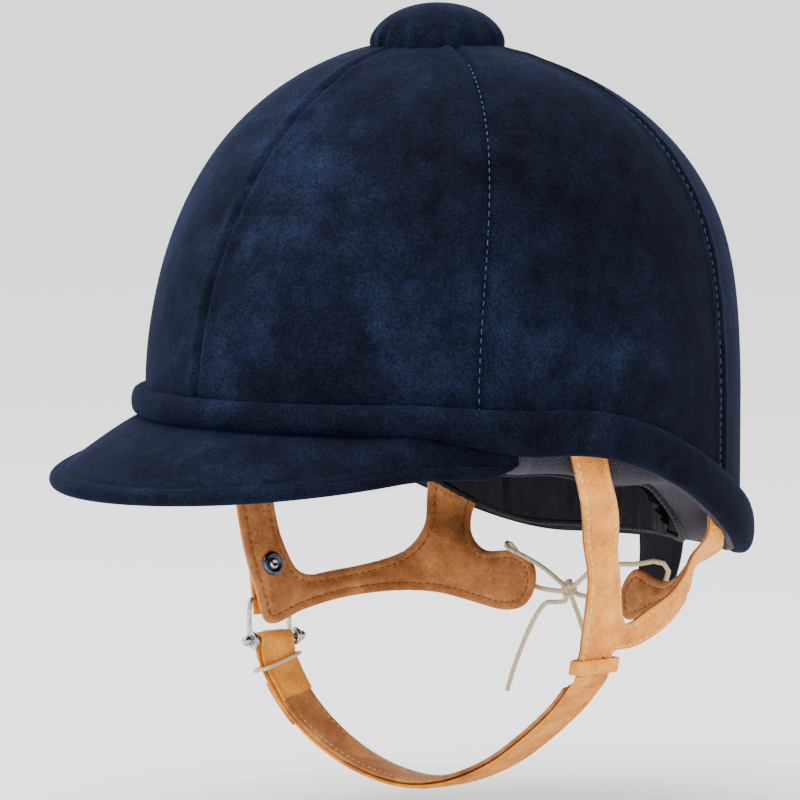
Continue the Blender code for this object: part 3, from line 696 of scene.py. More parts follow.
@dataclass(frozen=True)
class HelmetForm:
    """The crown's driving sizes and the points and heights that follow from them."""

    half_length: float = 121.0 * MM
    half_width: float = 103.5 * MM
    height: float = 132.5 * MM
    lean: float = -4.0 * MM
    front_curve: Tuple[float, float] = (1.73, 2.0)
    back_curve: Tuple[float, float] = (2.95, 1.52)
    side_curve: Tuple[float, float] = (3.46, 2.0)
    front_rim: float = 8.0 * MM
    ear_drop: float = 9.0 * MM
    nape_drop: float = 50.0 * MM
    band_height: float = 10.0 * MM
    band_ear_gain: float = 6.0 * MM
    band_nape_gain: float = 2.0 * MM
    panel_tuck: float = 5.0 * MM
    # Angles from the front, in degrees, over which each change takes place.
    ear_turns: Tuple[float, float] = (45, 72)
    nape_turns: Tuple[float, float] = (76, 152)
    tuck_turns: Tuple[float, float] = (90, 114)
    wall_share: float = 0.16

    @staticmethod
    def off_front(turn: float) -> float:
        """Fold an angle from the front onto 0 to 180 degrees."""
        return abs((turn + 180.0) % 360.0 - 180.0)

    def rim(self, turn: float) -> float:
        """Give the rim line's height at an angle from the front."""
        turn = self.off_front(turn)
        return -(self.front_rim + self.ear_drop * ramp(turn, *self.ear_turns)
                 + self.nape_drop * ramp(turn, *self.nape_turns))

    def band(self, turn: float) -> float:
        """Give the rolled band's height above the rim line."""
        turn = self.off_front(turn)
        return (self.band_height + self.band_ear_gain * ramp(turn, *self.ear_turns)
                + self.band_nape_gain * ramp(turn, *self.nape_turns))

    def tuck(self, turn: float) -> float:
        """Give how far the padded ring is drawn up inside the rim, 0 to 1."""
        return ramp(self.off_front(turn), *self.tuck_turns)

    def wall(self, turn: float, height: float, inset: float) -> Vector:
        """Give a point on the crown's upright wall.

        Args:
            turn: Degrees from the front towards the wearer's left.
            height: Height of the point.
            inset: Depth below the velvet.

        Returns:
            The point.
        """
        angle = math.radians(turn)
        return Vector(((self.half_width - inset) * math.sin(angle),
                       -(self.half_length - inset) * math.cos(angle), height))

    def outwards(self, turn: float) -> Vector:
        """Give the level direction out of the wall."""
        angle = math.radians(turn)
        return Vector((math.sin(angle) * self.half_length,
                       -math.cos(angle) * self.half_width, 0)).normalized()

    def dome(self, turn: float, lift: float, inset: float) -> Vector:
        """Give a point on the dome.

        Args:
            turn: Degrees from the front.
            lift: 0 at the origin's level, 1 at the top.
            inset: Depth below the velvet.

        Returns:
            The point.
        """
        angle = math.radians(turn)
        front = ramp(math.cos(angle), -0.25, 0.25)
        long_front = (1.0 - lift ** self.front_curve[0]) ** (1.0 / self.front_curve[1])
        long_back = (1.0 - lift ** self.back_curve[0]) ** (1.0 / self.back_curve[1])
        along = long_front * front + long_back * (1.0 - front)
        across = (1.0 - lift ** self.side_curve[0]) ** (1.0 / self.side_curve[1])
        return Vector(((self.half_width - inset) * across * math.sin(angle),
                       -(self.half_length - inset) * along * math.cos(angle) + self.lean * lift,
                       (self.height - inset) * lift))

    def rise(self, turn: float, share: float, foot: float, inset: float, top: float) -> Vector:
        """Give a point on the way from the wall's foot over the dome.

        Args:
            turn: Degrees from the front.
            share: 0 at the foot, 1 at the top opening.
            foot: Height of the foot.
            inset: Depth below the velvet.
            top: The shrunken width at which the way stops, as a share.

        Returns:
            The point.
        """
        if share < self.wall_share:
            return self.wall(turn, foot * (1.0 - share / self.wall_share), inset)
        climb = (share - self.wall_share) / (1.0 - self.wall_share)
        width = 1.0 - (1.0 - top) * climb
        return self.dome(turn, 1.0 - width * width, inset)


FORM = HelmetForm()


@dataclass(frozen=True)
class CollarForm:
    """The soft collar's plan round the jaw and nape, and the way up from it to the rim."""

    half_width: float = 84.0 * MM
    back: float = 70.0 * MM
    level: float = -80.0 * MM
    flare: float = 0.21
    front: float = 60.0 * MM
    inset: float = 6.4 * MM
    # The front strap's anchor angle, its lead in millimetres, and degrees for a millimetre.
    anchor: float = 81.0
    lead: float = 17.0
    turn_rate: float = 0.554
    table: Tuple[np.ndarray, np.ndarray, np.ndarray] = field(init=False)

    def __post_init__(self) -> None:
        """Measure the plan's curve once."""
        bends = 70.0 * np.sin(np.linspace(0.05, 1.55, 40))
        depths = np.append(np.concatenate([np.linspace(-60, 0, 7), bends]), 70.0) * MM
        widths = np.array([self.half_width * (1 - max(y / self.back, 0.0) ** 4) ** 0.25
                           for y in depths])
        steps = np.hypot(np.diff(widths), np.diff(depths))
        lengths = np.concatenate([[0.0], np.cumsum(steps)]) - self.front
        object.__setattr__(self, "table", (lengths, widths, depths))

    def point(self, along: float, height: float, side: Side, out: float) -> Vector:
        """Give a point on one side's leather.

        Args:
            along: Length along the collar, backwards.
            height: Height of the point.
            side: The wearer's side.
            out: Distance outwards from the leather's middle.

        Returns:
            The point.
        """
        lengths, widths, depths = self.table
        reach = 0.5 * MM
        spots = [Vector((np.interp(a, lengths, widths), np.interp(a, lengths, depths), 0))
                 for a in (along - reach, along, along + reach)]
        tangent = (spots[2] - spots[0]).normalized()
        normal = Vector((tangent.y, -tangent.x, 0))
        low = spots[1] + normal * self.flare * (height - self.level)
        turn = self.anchor + (along / MM + self.lead) * self.turn_rate
        high = FORM.wall(turn, 0.0, self.inset)
        rear = ramp(along / MM, 20, 55)
        top = FORM.rim(turn) - (10.0 - 8.0 * rear) * MM
        share = ramp(height, top - (24.0 - 10.0 * rear) * MM, top)
        share *= 1.0 - ramp(along / MM, 80, 90)
        facing = normal.lerp(FORM.outwards(turn), share).normalized()
        place = low.lerp(high, share) + facing * out
        return Vector((side.value * place.x, place.y, height))


COLLAR = CollarForm()


# ---------------------------------------------------------------- studio


@dataclass
class Studio:
    """The camera, the pale floor and the soft lights."""

    azimuth: float = 50.0
    elevation: float = 5.0
    distance: float = 2.0
    view_width: float = 306.5 * MM
    aim_right: float = -17.5 * MM
    aim_up: float = -5.7 * MM
    floor_level: float = -0.170

    def back(self) -> Vector:
        """Give the direction from the helmet to the camera."""
        turn = math.radians(self.azimuth)
        lift = math.radians(self.elevation)
        return Vector((math.sin(turn) * math.cos(lift), -math.cos(turn) * math.cos(lift),
                       math.sin(lift)))

    def add_camera(self) -> None:
        """Stand the camera ahead and to the left of the helmet, a little above it."""
        back = self.back()
        right = Vector((0, 0, 1)).cross(back).normalized()
        up = back.cross(right)
        target = right * self.aim_right + up * self.aim_up
        lens = bpy.data.cameras.new("camera")
        lens.sensor_width = 36.0
        lens.lens = 36.0 * self.distance / self.view_width
        lens.clip_end = 20.0
        camera = bpy.data.objects.new("camera", lens)
        camera.matrix_world = Matrix.Translation(target + back * self.distance) @ Matrix(
            (right, up, back)).transposed().to_4x4()
        bpy.context.scene.collection.objects.link(camera)
        bpy.context.scene.camera = camera

    def add_floor(self) -> None:
        """Lay a plain pale floor and light it evenly."""
        deselect_all()
        bpy.ops.mesh.primitive_plane_add(size=12.0, location=(0, 0, self.floor_level))
        floor = bpy.context.active_object
        floor.name = "floor"
        paint = Recipe("pale_floor", (0.97, 0.97, 0.97), 0.9)
        floor.data.materials.append(paint.material)
        world = bpy.data.worlds.new("studio")
        bpy.context.scene.world = world
        world.use_nodes = True
        world.node_tree.nodes["Background"].inputs["Color"].default_value = (1, 1, 1, 1)
        world.node_tree.nodes["Background"].inputs["Strength"].default_value = 1.75

    def add_lamp(self, name: str, place: Tuple[float, float, float], size: float,
                 power: float) -> None:
        """Hang a square soft light that faces the helmet.

        Args:
            name: The light's name.
            place: Where it hangs, in metres.
            size: Its side, in metres.
            power: Its power, in watts.
        """
        light = bpy.data.lights.new(name, "AREA")
        light.size = size
        light.energy = power
        lamp = bpy.data.objects.new(name, light)
        lamp.location = place
        lamp.rotation_euler = Vector(place).to_track_quat("Z", "Y").to_euler()
        bpy.context.scene.collection.objects.link(lamp)

    def build(self) -> None:
        """Build the camera first, then the floor and the lights."""
        self.add_camera()
        self.add_floor()
        self.add_lamp("key", (-0.6, -1.5, 1.4), 1.0, 24.0)
        self.add_lamp("top", (-0.1, -0.3, 1.6), 1.2, 24.0)
        self.add_lamp("rear", (1.4, 0.7, 0.7), 0.8, 5.0)


# ---------------------------------------------------------------- lace


@dataclass
class Lace:
    """The cream lace that ties the two guards behind the neck."""

    finishes: Finishes
    radius: float = 1.0 * MM
    knot: Tuple[float, float, float] = (-7.0, 70.0, -85.0)
    ends: Tuple[Tuple[float, float, float], ...] = (
        (-12.2, 70.6, -86.4), (-12, 69, -82), (-2, 70, -82), (-1.8, 70.6, -86.8),
        (-9.5, 70.3, -89.8), (-5, 70.6, -90))
    front_tail: Tuple[Tuple[float, float, float], ...] = (
        (-9.5, 70.3, -89.8), (-14.5, 70.6, -91), (-20.5, 70.9, -91.4), (-26, 71, -95.4),
        (-32.6, 71, -104.5), (-38, 71, -114), (-42.2, 71, -122.5), (-45, 71, -129.5))
    rear_tail: Tuple[Tuple[float, float, float], ...] = (
        (-5, 70.6, -90), (-3, 71.2, -94.5), (0, 71.5, -101), (2.5, 71.5, -109),
        (3.5, 71.2, -119), (3.6, 71, -126))

    def add_tail(self, name: str, points: Sequence[Sequence[float]], count: int) -> None:
        """Hang one free tail of the lace.

        Args:
            name: The tail's name, which is its node's name too.
            points: Its route, in millimetres.
            count: How many points its curve has.
        """
        route = smooth_route(points, count)
        tail = tube(name + "_cord", route, self.radius)
        dress(tail, self.finishes.cord, Body.HELMET, [name])

    def add_knot(self) -> None:
        """Wind the knot as crossing turns of the lace, with a short run out to each end."""
        turns = []
        for step in range(72):
            angle = math.tau * step / 72
            radius = 2.1 + 0.8 * math.cos(3.0 * angle)
            spot = Vector((radius * math.cos(2.0 * angle), 0.9 * math.sin(5.0 * angle),
                           radius * math.sin(2.0 * angle)))
            spot += Vector(self.knot) + Vector((0, 0, -0.6 * math.cos(angle)))
            turns.append(spot * MM)
        knot = as_mesh(tube("knot_turns", turns, self.radius, closed=True))
        deselect_all()
        bpy.ops.mesh.primitive_uv_sphere_add(segments=20, ring_count=12, radius=2.0 * MM,
                                             location=Vector(self.knot) * MM)
        core = bpy.context.active_object
        pick(core)
        bpy.ops.object.transform_apply(location=True, rotation=False, scale=False)
        smooth(core)
        runs = []
        for end in self.ends:
            middle = Vector(self.knot)
            route = [(middle + (Vector(end) - middle) * share) * MM for share in (0.2, 0.6, 1.0)]
            runs.append(as_mesh(tube("knot_run", route, self.radius)))
        knot = joined("lace_knot_turns", [knot, core, *runs])
        dress(knot, self.finishes.cord, Body.HELMET, ["lace_knot"])

    def build(self) -> None:
        """Build the two tails, then the knot."""
        self.add_tail("lace_tail_front", self.front_tail, 16)
        self.add_tail("lace_tail_rear", self.rear_tail, 11)
        self.add_knot()


# ---------------------------------------------------------------- crown


@dataclass
class Crown:
    """Six velvet panels, their seams, the rolled band and the button."""

    finishes: Finishes
    panel_count: int = 6
    velvet: float = 1.2 * MM
    top_width: float = 0.045
    button_radius: float = 25.0 * MM
    button_height: float = 15.4 * MM
    button_base: float = 131.0 * MM

    def relief(self, place: Vector, seam_distance: float) -> float:
        """Give how far the velvet stands proud near a seam.

        Args:
            place: The point on the crown.
            seam_distance: Its distance from the nearest seam, in metres.

        Returns:
            The height, in metres.
        """
        gap = seam_distance / MM
        groove = -1.0 * bump(gap, 1.3)
        ridge = 0.55 * bump(gap - 3.6, 1.8)
        pucker = 0.35 * rumple(place, 7.0 * MM) * bump(gap - 2.0, 6.0)
        slack = 0.45 * rumple(place, 42.0 * MM, 3.0)
        return (groove + ridge + pucker + slack) * MM

    def panel_point(self, start: float, u: float, v: float) -> Vector:
        """Give a point on a panel's closed section.

        Args:
            start: The panel's first seam, in degrees.
            u: Share across the panel.
            v: Share round the section: up the outside, then down the inside.

        Returns:
            The point.
        """
        span = 360.0 / self.panel_count
        spread = 0.5 - 0.5 * math.cos(math.pi * u)
        turn = start + 0.06 + (span - 0.12) * spread
        foot = FORM.rim(turn) + FORM.band(turn) - FORM.panel_tuck
        if v < 0.8:
            place = FORM.rise(turn, v / 0.8, foot, 0.0, self.top_width)
            radius = math.hypot(place.x, place.y)
            edge = min(spread, 1.0 - spread) * math.radians(span) * radius
            normal = Vector((place.x, place.y, max(place.z, 0.0) * 0.9)).normalized()
            return place + normal * self.relief(place, edge)
        share = 1.0 - (v - 0.8) / 0.2
        return FORM.rise(turn, share, foot, self.velvet, self.top_width)

    def add_panels(self) -> None:
        """Lay the six panels."""
        for index in range(self.panel_count):
            start = index * 360.0 / self.panel_count
            name = f"crown_panel_{index + 1}"
            panel = wrapped(name + "_velvet", 56, 80,
                            lambda u, v, s=start: self.panel_point(s, u, v), cap=True)
            dress(panel, self.finishes.velvet, Body.HELMET, [name])

    def add_seams(self) -> None:
        """Sew every seam but the front one with a fine blue thread."""
        ends = []
        for index in range(1, self.panel_count):
            turn = index * 360.0 / self.panel_count
            foot = FORM.rim(turn) + FORM.band(turn) - 2.0 * MM
            route = [FORM.rise(turn, k / 260, foot, 0.0, 0.2) for k in range(248)]
            walked = 0.0
            start = route[0]
            for a, b in zip(route, route[1:]):
                walked += (b - a).length
                if walked >= 3.0 * MM:
                    side = FORM.outwards(turn)
                    lift = Vector((side.x, side.y, 0.9 * b.z / FORM.height)).normalized()
                    run = b - start
                    ends.append((start + run * 0.12 - lift * 0.25 * MM,
                                 start + run * 0.8 - lift * 0.25 * MM))
                    start = b
                    walked = 0.0
        thread = stitches("crown_seam_thread", ends, 0.26 * MM)
        dress(thread, self.finishes.blue_stitch, Body.HELMET)

    def band_point(self, u: float, v: float) -> Vector:
        """Give a point on the rolled band's closed section."""
        turn = 360.0 * u
        angle = math.tau * v
        tall = FORM.band(turn)
        out = 0.5 * MM + 5.0 * MM * signed_power(math.cos(angle), 0.75)
        rise = -1.0 * MM + (tall + MM) * (0.5 + 0.5 * signed_power(math.sin(angle), 0.85))
        place = FORM.wall(turn, FORM.rim(turn) + rise, -out)
        side = FORM.off_front(turn)
        creases = 0.35 * rumple(place, 16.0 * MM, 5.0) + 0.25 * rumple(place, 5.0 * MM, 8.0)
        creases += 0.5 * bump(side - 88.0, 14.0) * math.sin(math.radians(turn) * 46.0)
        return place + FORM.outwards(turn) * creases * 0.55 * MM

    def add_band(self) -> None:
        """Roll the band round the crown's foot."""
        band = wrapped("rim_band_velvet", 300, 28, self.band_point, span=(0.71, 0.03))
        dress(band, self.finishes.velvet, Body.HELMET, ["rim_band"])

    def button_point(self, u: float, v: float) -> Vector:
        """Give a point on the gathered button, from its flat base over the top."""
        turn = math.tau * u
        if v < 0.2:
            radius, height = self.button_radius * 0.96 * v / 0.2, -1.4 * MM
            return self.on_button(turn, radius, height)
        angle = math.radians(-14.0 + 104.0 * (v - 0.2) / 0.8)
        reach = math.cos(max(angle, math.radians(-14.0)))
        gathers = 0.55 * math.sin(17.0 * turn) + 0.35 * math.sin(29.0 * turn + 1.3)
        near_base = bump(math.degrees(angle), 26.0)
        tuft = 1.5 * bump(math.degrees(turn) - 300.0, 16.0) * bump(math.degrees(angle) - 8.0, 14.0)
        radius = self.button_radius * reach + (gathers * near_base + tuft) * MM
        if reach < 1e-4:
            radius = 0.0
        return self.on_button(turn, radius, self.button_height * math.sin(angle))

    def on_button(self, turn: float, radius: float, height: float) -> Vector:
        """Place a point given by its turn, radius and height on the button."""
        return Vector((radius * math.sin(turn), FORM.lean - radius * math.cos(turn),
                       self.button_base + height))

    def add_button(self) -> None:
        """Cover the button in gathered velvet."""
        button = wrapped("top_button_velvet", 128, 40, self.button_point, cap=True)
        dress(button, self.finishes.velvet, Body.HELMET, ["top_button"])

    def build(self) -> None:
        """Build the crown's outside."""
        self.add_panels()
        self.add_seams()
        self.add_band()
        self.add_button()


# ---------------------------------------------------------------- peak


@dataclass
class Peak:
    """The velvet peak with its rolled edge, and the cloth under it."""

    finishes: Finishes
    reach: float = 47.0 * MM
    half_angle: float = 67.0
    board_angle: float = 60.0
    narrowing: float = 1.17
    fall: float = 20.5 * MM
    thickness: float = 4.1 * MM
    trim: float = 3.3 * MM

    def spread(self, turn: float) -> float:
        """Give how far the peak stands out at an angle."""
        return self.reach * math.cos(math.radians(self.narrowing * turn)) ** 2

    def point(self, turn: float, reach: float, depth: float) -> Vector:
        """Give a point on the peak.

        Args:
            turn: Degrees from the front.
            reach: Distance out from the crown.
            depth: Distance down from the top face.

        Returns:
            The point.
        """
        share = min(max(reach, 0.0) / max(self.spread(turn) - self.trim, self.trim / 2), 1.0)
        fall = self.fall * math.cos(math.radians(self.narrowing * turn)) * share ** 1.3
        place = FORM.wall(turn, 0.0, 0.0) + FORM.outwards(turn) * (0.6 * MM + reach)
        place.z = (FORM.rim(0.0) - FORM.ear_drop * ramp(abs(turn), *FORM.ear_turns) - 0.7 * MM
                   - fall - depth)
        return place

    def cover_point(self, u: float, v: float) -> Vector:
        """Give a point on the velvet's closed section: over the top, round the edge, back."""
        turn = self.half_angle * (2.0 * u - 1.0)
        thickness = self.thickness * (1.0 - 0.85 * ramp(abs(turn), self.board_angle,
                                                        self.half_angle))
        roll = 0.5 * thickness + 0.4 * MM
        flat = self.spread(turn) - roll
        if 0.47 < v < 0.60:
            angle = math.pi * (v - 0.47) / 0.13
            place = self.point(turn, flat, roll * (1.0 - math.cos(angle)) - 0.4 * MM)
            return place + FORM.outwards(turn) * roll * math.sin(angle)
        if v >= 0.60:
            share = (1.0 - v) / 0.40
            return self.point(turn, flat * share, thickness)
        share = v / 0.47
        reach = flat * (1.0 - (1.0 - share) ** 1.6)
        edge = (flat - reach) / MM
        seam = -0.55 * bump(edge - 4.0, 0.9) + 0.3 * bump(edge - 1.0, 1.6)
        place = self.point(turn, reach, -0.4 * MM * ramp(share, 0.7, 1.0))
        pucker = 0.9 * rumple(place, 7.0 * MM, 2.0) * ramp(abs(turn), 40, 60)
        slack = 0.5 * rumple(place, 30.0 * MM, 6.0)
        place.z += (seam + pucker + slack) * MM
        return place

    def lining_point(self, u: float, v: float) -> Vector:
        """Give a point on the closed section of the cloth under the peak."""
        turn = self.board_angle * (2.0 * u - 1.0)
        flat = max(self.spread(turn) - 4.0 * MM, 0.6 * MM)
        depth = self.thickness + (0.1 * MM if v < 0.5 else 0.8 * MM)
        share = 2.0 * v if v < 0.5 else 2.0 - 2.0 * v
        return self.point(turn, 0.2 * MM + (flat - 0.2 * MM) * share, depth)

    def build(self) -> None:
        """Build the velvet and the cloth."""
        cover = wrapped("peak_velvet", 200, 72, self.cover_point, cap=True)
        dress(cover, self.finishes.velvet, Body.HELMET,
              ["peak_cover", "peak_piping"])
        under = wrapped("peak_under_cloth", 100, 24, self.lining_point, cap=True)
        dress(under, self.finishes.lining, Body.HELMET, ["peak_lining"])


# ---------------------------------------------------------------- inside


@dataclass
class Inside:
    """The woven padded ring, its piping, the gathered lining and the pad at the top."""

    finishes: Finishes
    drop: float = 9.5 * MM
    tuck_up: float = 7.0 * MM
    thinning: float = 0.75
    anchors: Tuple[float, ...] = (-80.0, 80.0, -129.0, 129.0, 180.0, -180.0)

    def base(self, turn: float) -> float:
        """Give the level that the ring's section is drawn from."""
        return FORM.rim(turn) + self.tuck_up * FORM.tuck(turn)

    def lip(self, turn: float) -> float:
        """Give how deep the ring hangs below its base."""
        return self.drop * (1.0 - self.thinning * FORM.tuck(turn))

    def pocket(self, turn: float) -> float:
        """Give 1 where a strap passes outside the ring and 0 elsewhere."""
        turn = (turn + 180.0) % 360.0 - 180.0
        return max(1.0 - ramp(abs(turn - anchor), 7.5, 12.0) for anchor in self.anchors)

    def ring_point(self, u: float, v: float) -> Vector:
        """Give a point on the padded ring's closed section."""
        turn = 360.0 * u
        angle = math.tau * v
        outer = (1.0 + 3.9 * ramp(FORM.off_front(turn), 74, 88)) * MM
        outer = max(outer, 8.9 * MM * self.pocket(turn))
        inner = 22.8 * MM
        lip = self.lip(turn)
        middle = 0.5 * (outer + inner)
        half = 0.5 * (inner - outer)
        inset = middle - half * signed_power(math.cos(angle), 0.8)
        if math.sin(angle) < 0.0:
            rise = lip * signed_power(math.sin(angle), 0.7)
            rise *= 0.72 + 0.28 * (inset - outer) / (inner - outer)
        else:
            rise = 11.0 * MM * math.sin(angle) ** 0.6 * ramp(inset, 16.0 * MM, 19.0 * MM)
        place = FORM.wall(turn, self.base(turn) - 0.5 * MM + rise, inset)
        place.z += 0.35 * MM * rumple(place, 18.0 * MM, 4.0)
        return place

    def piping_point(self, u: float, v: float) -> Vector:
        """Give a point on the ribbed piping along the ring's inner edge."""
        turn = 360.0 * u
        angle = math.tau * v
        radius = (1.5 + 0.16 * math.sin(u * math.tau * 190.0)) * MM
        low = self.base(turn) - self.lip(turn) + 0.6 * MM
        return FORM.wall(turn, low + radius * math.sin(angle), 22.3 * MM + radius * math.cos(angle))

    def lining_point(self, u: float, v: float) -> Vector:
        """Give a point on the gathered lining's thin closed section."""
        turn = 360.0 * u
        outer = v < 0.5
        share = 2.0 * v if outer else 2.0 - 2.0 * v
        fade = 1.0 - 0.75 * share
        gather = rumple(FORM.wall(turn, share * 14.0 * MM, 0.0), 5.0 * MM)
        sag = rumple(FORM.wall(turn, share * 60.0 * MM, 0.0), 22.0 * MM, 3.0)
        pleat = (2.4 * (1.0 + gather) + 1.2 * (1.0 + sag)) * fade * MM
        inset = 24.6 * MM - 4.6 * MM * ramp(share, 0.1, 0.4) + pleat
        inset += 0.0 if outer else 0.5 * MM
        foot = self.base(turn) - self.lip(turn) + 2.2 * MM
        return FORM.rise(turn, share, foot, inset, 0.02)

    def pad_point(self, u: float, v: float) -> Vector:
        """Give a point on the quilted pad under the crown's top."""
        turn = math.tau * u
        radius = 36.0 * MM * math.sin(math.pi * v) ** 0.8
        half = 3.3 * MM * signed_power(math.cos(math.pi * v), 0.6)
        channel = 1.0 - 0.35 * bump((radius / MM) - 18.0, 2.0)
        segment = 1.0 - 0.25 * bump(math.sin(3.0 * turn), 0.12) * ramp(radius, 0, 20 * MM)
        centre = FORM.height - 17.5 * MM - 12.0 * MM
        droop = -2.2 * MM * (radius / (36.0 * MM)) ** 2
        return Vector((radius * math.sin(turn), FORM.lean - radius * math.cos(turn),
                       centre + half * channel * segment + droop))

    def build(self) -> None:
        """Build the inside."""
        ring = wrapped("headband_ring", 288, 48, self.ring_point, span=(0.66, 0.075))
        dress(ring, self.finishes.twill, Body.HELMET, ["headband_pad"])
        piping = wrapped("headband_piping_roll", 760, 10, self.piping_point, span=(0.6, 0.01))
        dress(piping, self.finishes.lining, Body.HELMET, ["headband_piping"])
        lining = wrapped("gathered_lining", 444, 64, self.lining_point)
        dress(lining, self.finishes.lining, Body.HELMET, ["crown_lining"])
        pad = wrapped("crown_pad_quilted", 96, 40, self.pad_point)
        dress(pad, self.finishes.lining, Body.HELMET, ["crown_pad"])


# ---------------------------------------------------------------- harness


RIGHT_OUTLINE = ((-30, -2), (-12, -2), (-12, -30), (-13, -54), (-10, -70), (-3, -80), (15, -80),
                 (35, -78), (48, -74), (55, -65), (57, -52), (59, -34), (79, -36), (77, -52),
                 (74, -62), (74, -69), (81, -74), (95, -72.5), (106, -77), (109, -85),
                 (105, -93), (95, -96), (80, -94.5), (60, -91), (40, -90), (15, -91), (-5, -94),
                 (-23, -98), (-27, -85), (-30, -70), (-31, -54), (-31, -30))
LEFT_OUTLINE = ((-22, -2), (-10, -2), (-3, -30), (6, -52), (11.5, -68), (15, -81), (19, -85.5),
                (30, -80.5), (43, -74.5), (54, -64), (58, -52), (60, -34), (79, -36), (79, -52),
                (76, -64), (75, -70), (79, -74.5), (86, -76.5), (95, -75.5), (104, -73.5),
                (109.5, -79), (110, -86), (106, -92.5), (98, -92), (90, -88.5), (80, -85),
                (70, -82), (58, -81.5), (45, -87), (33, -92), (23, -94.8), (13, -95.8),
                (12.6, -102.5), (-2.8, -102.5), (-3.2, -94), (-3.5, -80), (-4.5, -66),
                (-10, -51), (-17, -30))


@dataclass
class Guard:
    """One side's cut leather with its lining, its stitching and its creases."""

    finishes: Finishes
    side: Side
    name: str
    outline: Tuple[Tuple[float, float], ...]
    outer_thread: bpy.types.Material
    margin: float = 3.0 * MM
    outer_margin: float = 3.0 * MM
    count: int = 260

    def __post_init__(self) -> None:
        """Smooth the outline once."""
        edge = smooth_route(self.outline, self.count, closed=True)
        self.edge = np.array([tuple(point) for point in edge])

    def edge_distance(self, x: float, z: float) -> float:
        """Give a flat point's distance from the outline."""
        start = self.edge
        run = np.roll(start, -1, axis=0) - start
        gap = np.array((x, z)) - start
        share = np.clip((gap * run).sum(axis=1) / (run * run).sum(axis=1), 0.0, 1.0)
        return float(np.hypot(*(gap - run * share[:, None]).T).min())

    def relief(self, x: float, z: float) -> float:
        """Give how far one face swells at a flat point.

        Args:
            x: Length along the collar.
            z: Height.

        Returns:
            The swelling, in metres.
        """
        edge = self.edge_distance(x, z) / MM
        place = Vector((x, 0.0, z))
        rounding = -0.75 * bump(edge, 0.9)
        groove = -0.5 * bump(edge - self.margin / MM, 0.75)
        swell = 0.55 * ramp(edge, 3.2, 7.0)
        folds = 0.8 * rumple(Vector((x * 1.6, 0.0, z * 0.8)), 9.0 * MM, 2.0) * ramp(edge, 2.5, 6.0)
        pucker = 0.35 * rumple(place, 2.6 * MM, 9.0) * bump(edge - 4.0, 2.4)
        return (rounding + groove + swell + folds + pucker) * MM

    def flat_blank(self, name: str) -> bpy.types.Object:
        """Cut the flat shape and divide it into small faces."""
        deselect_all()
        bpy.ops.mesh.primitive_circle_add(vertices=self.count, fill_type="NGON")
        item = bpy.context.active_object
        item.name = name
        for vert, spot in zip(item.data.vertices, self.edge):
            vert.co = (spot[0], 0.0, spot[1])
        pick(item)
        bpy.ops.object.mode_set(mode="EDIT")
        bpy.ops.mesh.select_all(action="SELECT")
        for step in (0.7, 1.5, 0.8, 0.8, 1.2):
            bpy.ops.mesh.inset(thickness=step * MM, use_even_offset=False)
        for across in range(-30, 110, 3):
            bpy.ops.mesh.select_all(action="SELECT")
            bpy.ops.mesh.bisect(plane_co=(across * MM, 0, 0), plane_no=(1, 0, 0))
        for height in range(3, 102, 3):
            bpy.ops.mesh.select_all(action="SELECT")
            bpy.ops.mesh.bisect(plane_co=(0, 0, -height * MM), plane_no=(0, 0, 1))
        bpy.ops.mesh.select_all(action="SELECT")
        bpy.ops.mesh.remove_doubles(threshold=0.25 * MM)
        bpy.ops.mesh.select_all(action="SELECT")
        bpy.ops.mesh.extrude_region_move(TRANSFORM_OT_translate={"value": (0.0, 1.0, 0.0)})
        bpy.ops.object.mode_set(mode="OBJECT")
        return item

    def layer(self, name: str, inner: float, outer: float, swell_out: bool
              ) -> bpy.types.Object:
        """Bend one layer of leather onto the harness.

        Args:
            name: The layer's name.
            inner: Depth of its inner face, outwards from the middle.
            outer: Depth of its outer face.
            swell_out: Whether the outer face carries the relief; the inner one does if not.

        Returns:
            The layer.
        """
        item = self.flat_blank(name)
        for vert in item.data.vertices:
            lifted = vert.co.y > 0.5
            x, z = vert.co.x, vert.co.z
            depth = outer if lifted else inner
            if lifted == swell_out:
                depth += self.relief(x, z) * (1.0 if swell_out else -1.0)
            vert.co = COLLAR.point(x, z, self.side, depth)
        heal(item, cap=False)
        smooth(item, 60.0)
        return item

    def seam(self, name: str, depth: float, inset: float) -> bpy.types.Object:
        """Sew along the outline.

        Args:
            name: The stitches' name.
            depth: How far out from the leather's middle they lie.
            inset: Their distance inside the edge.

        Returns:
            The stitches.
        """
        run = np.roll(self.edge, -1, axis=0) - np.roll(self.edge, 1, axis=0)
        run /= np.hypot(*run.T)[:, None]
        inward = np.stack([run[:, 1], -run[:, 0]], axis=1)
        probe = self.edge[4] + inward[4] * 2 * MM
        if self.edge_distance(*probe) < 1.5 * MM or not self.inside(probe):
            inward = -inward
        track = self.edge + inward * inset
        lengths = np.concatenate([[0.0], np.cumsum(np.hypot(*np.diff(track, axis=0).T))])
        ends = []
        for begin in np.arange(0.0, lengths[-1] - 3.0 * MM, 3.1 * MM):
            pair = []
            for where in (begin, begin + 2.2 * MM):
                x = float(np.interp(where, lengths, track[:, 0]))
                z = float(np.interp(where, lengths, track[:, 1]))
                pair.append(COLLAR.point(x, z, self.side, depth))
            if pair[0].z < -6.0 * MM and (pair[0] - pair[1]).length > 1.0 * MM:
                ends.append(tuple(pair))
        return stitches(name, ends, 0.33 * MM)

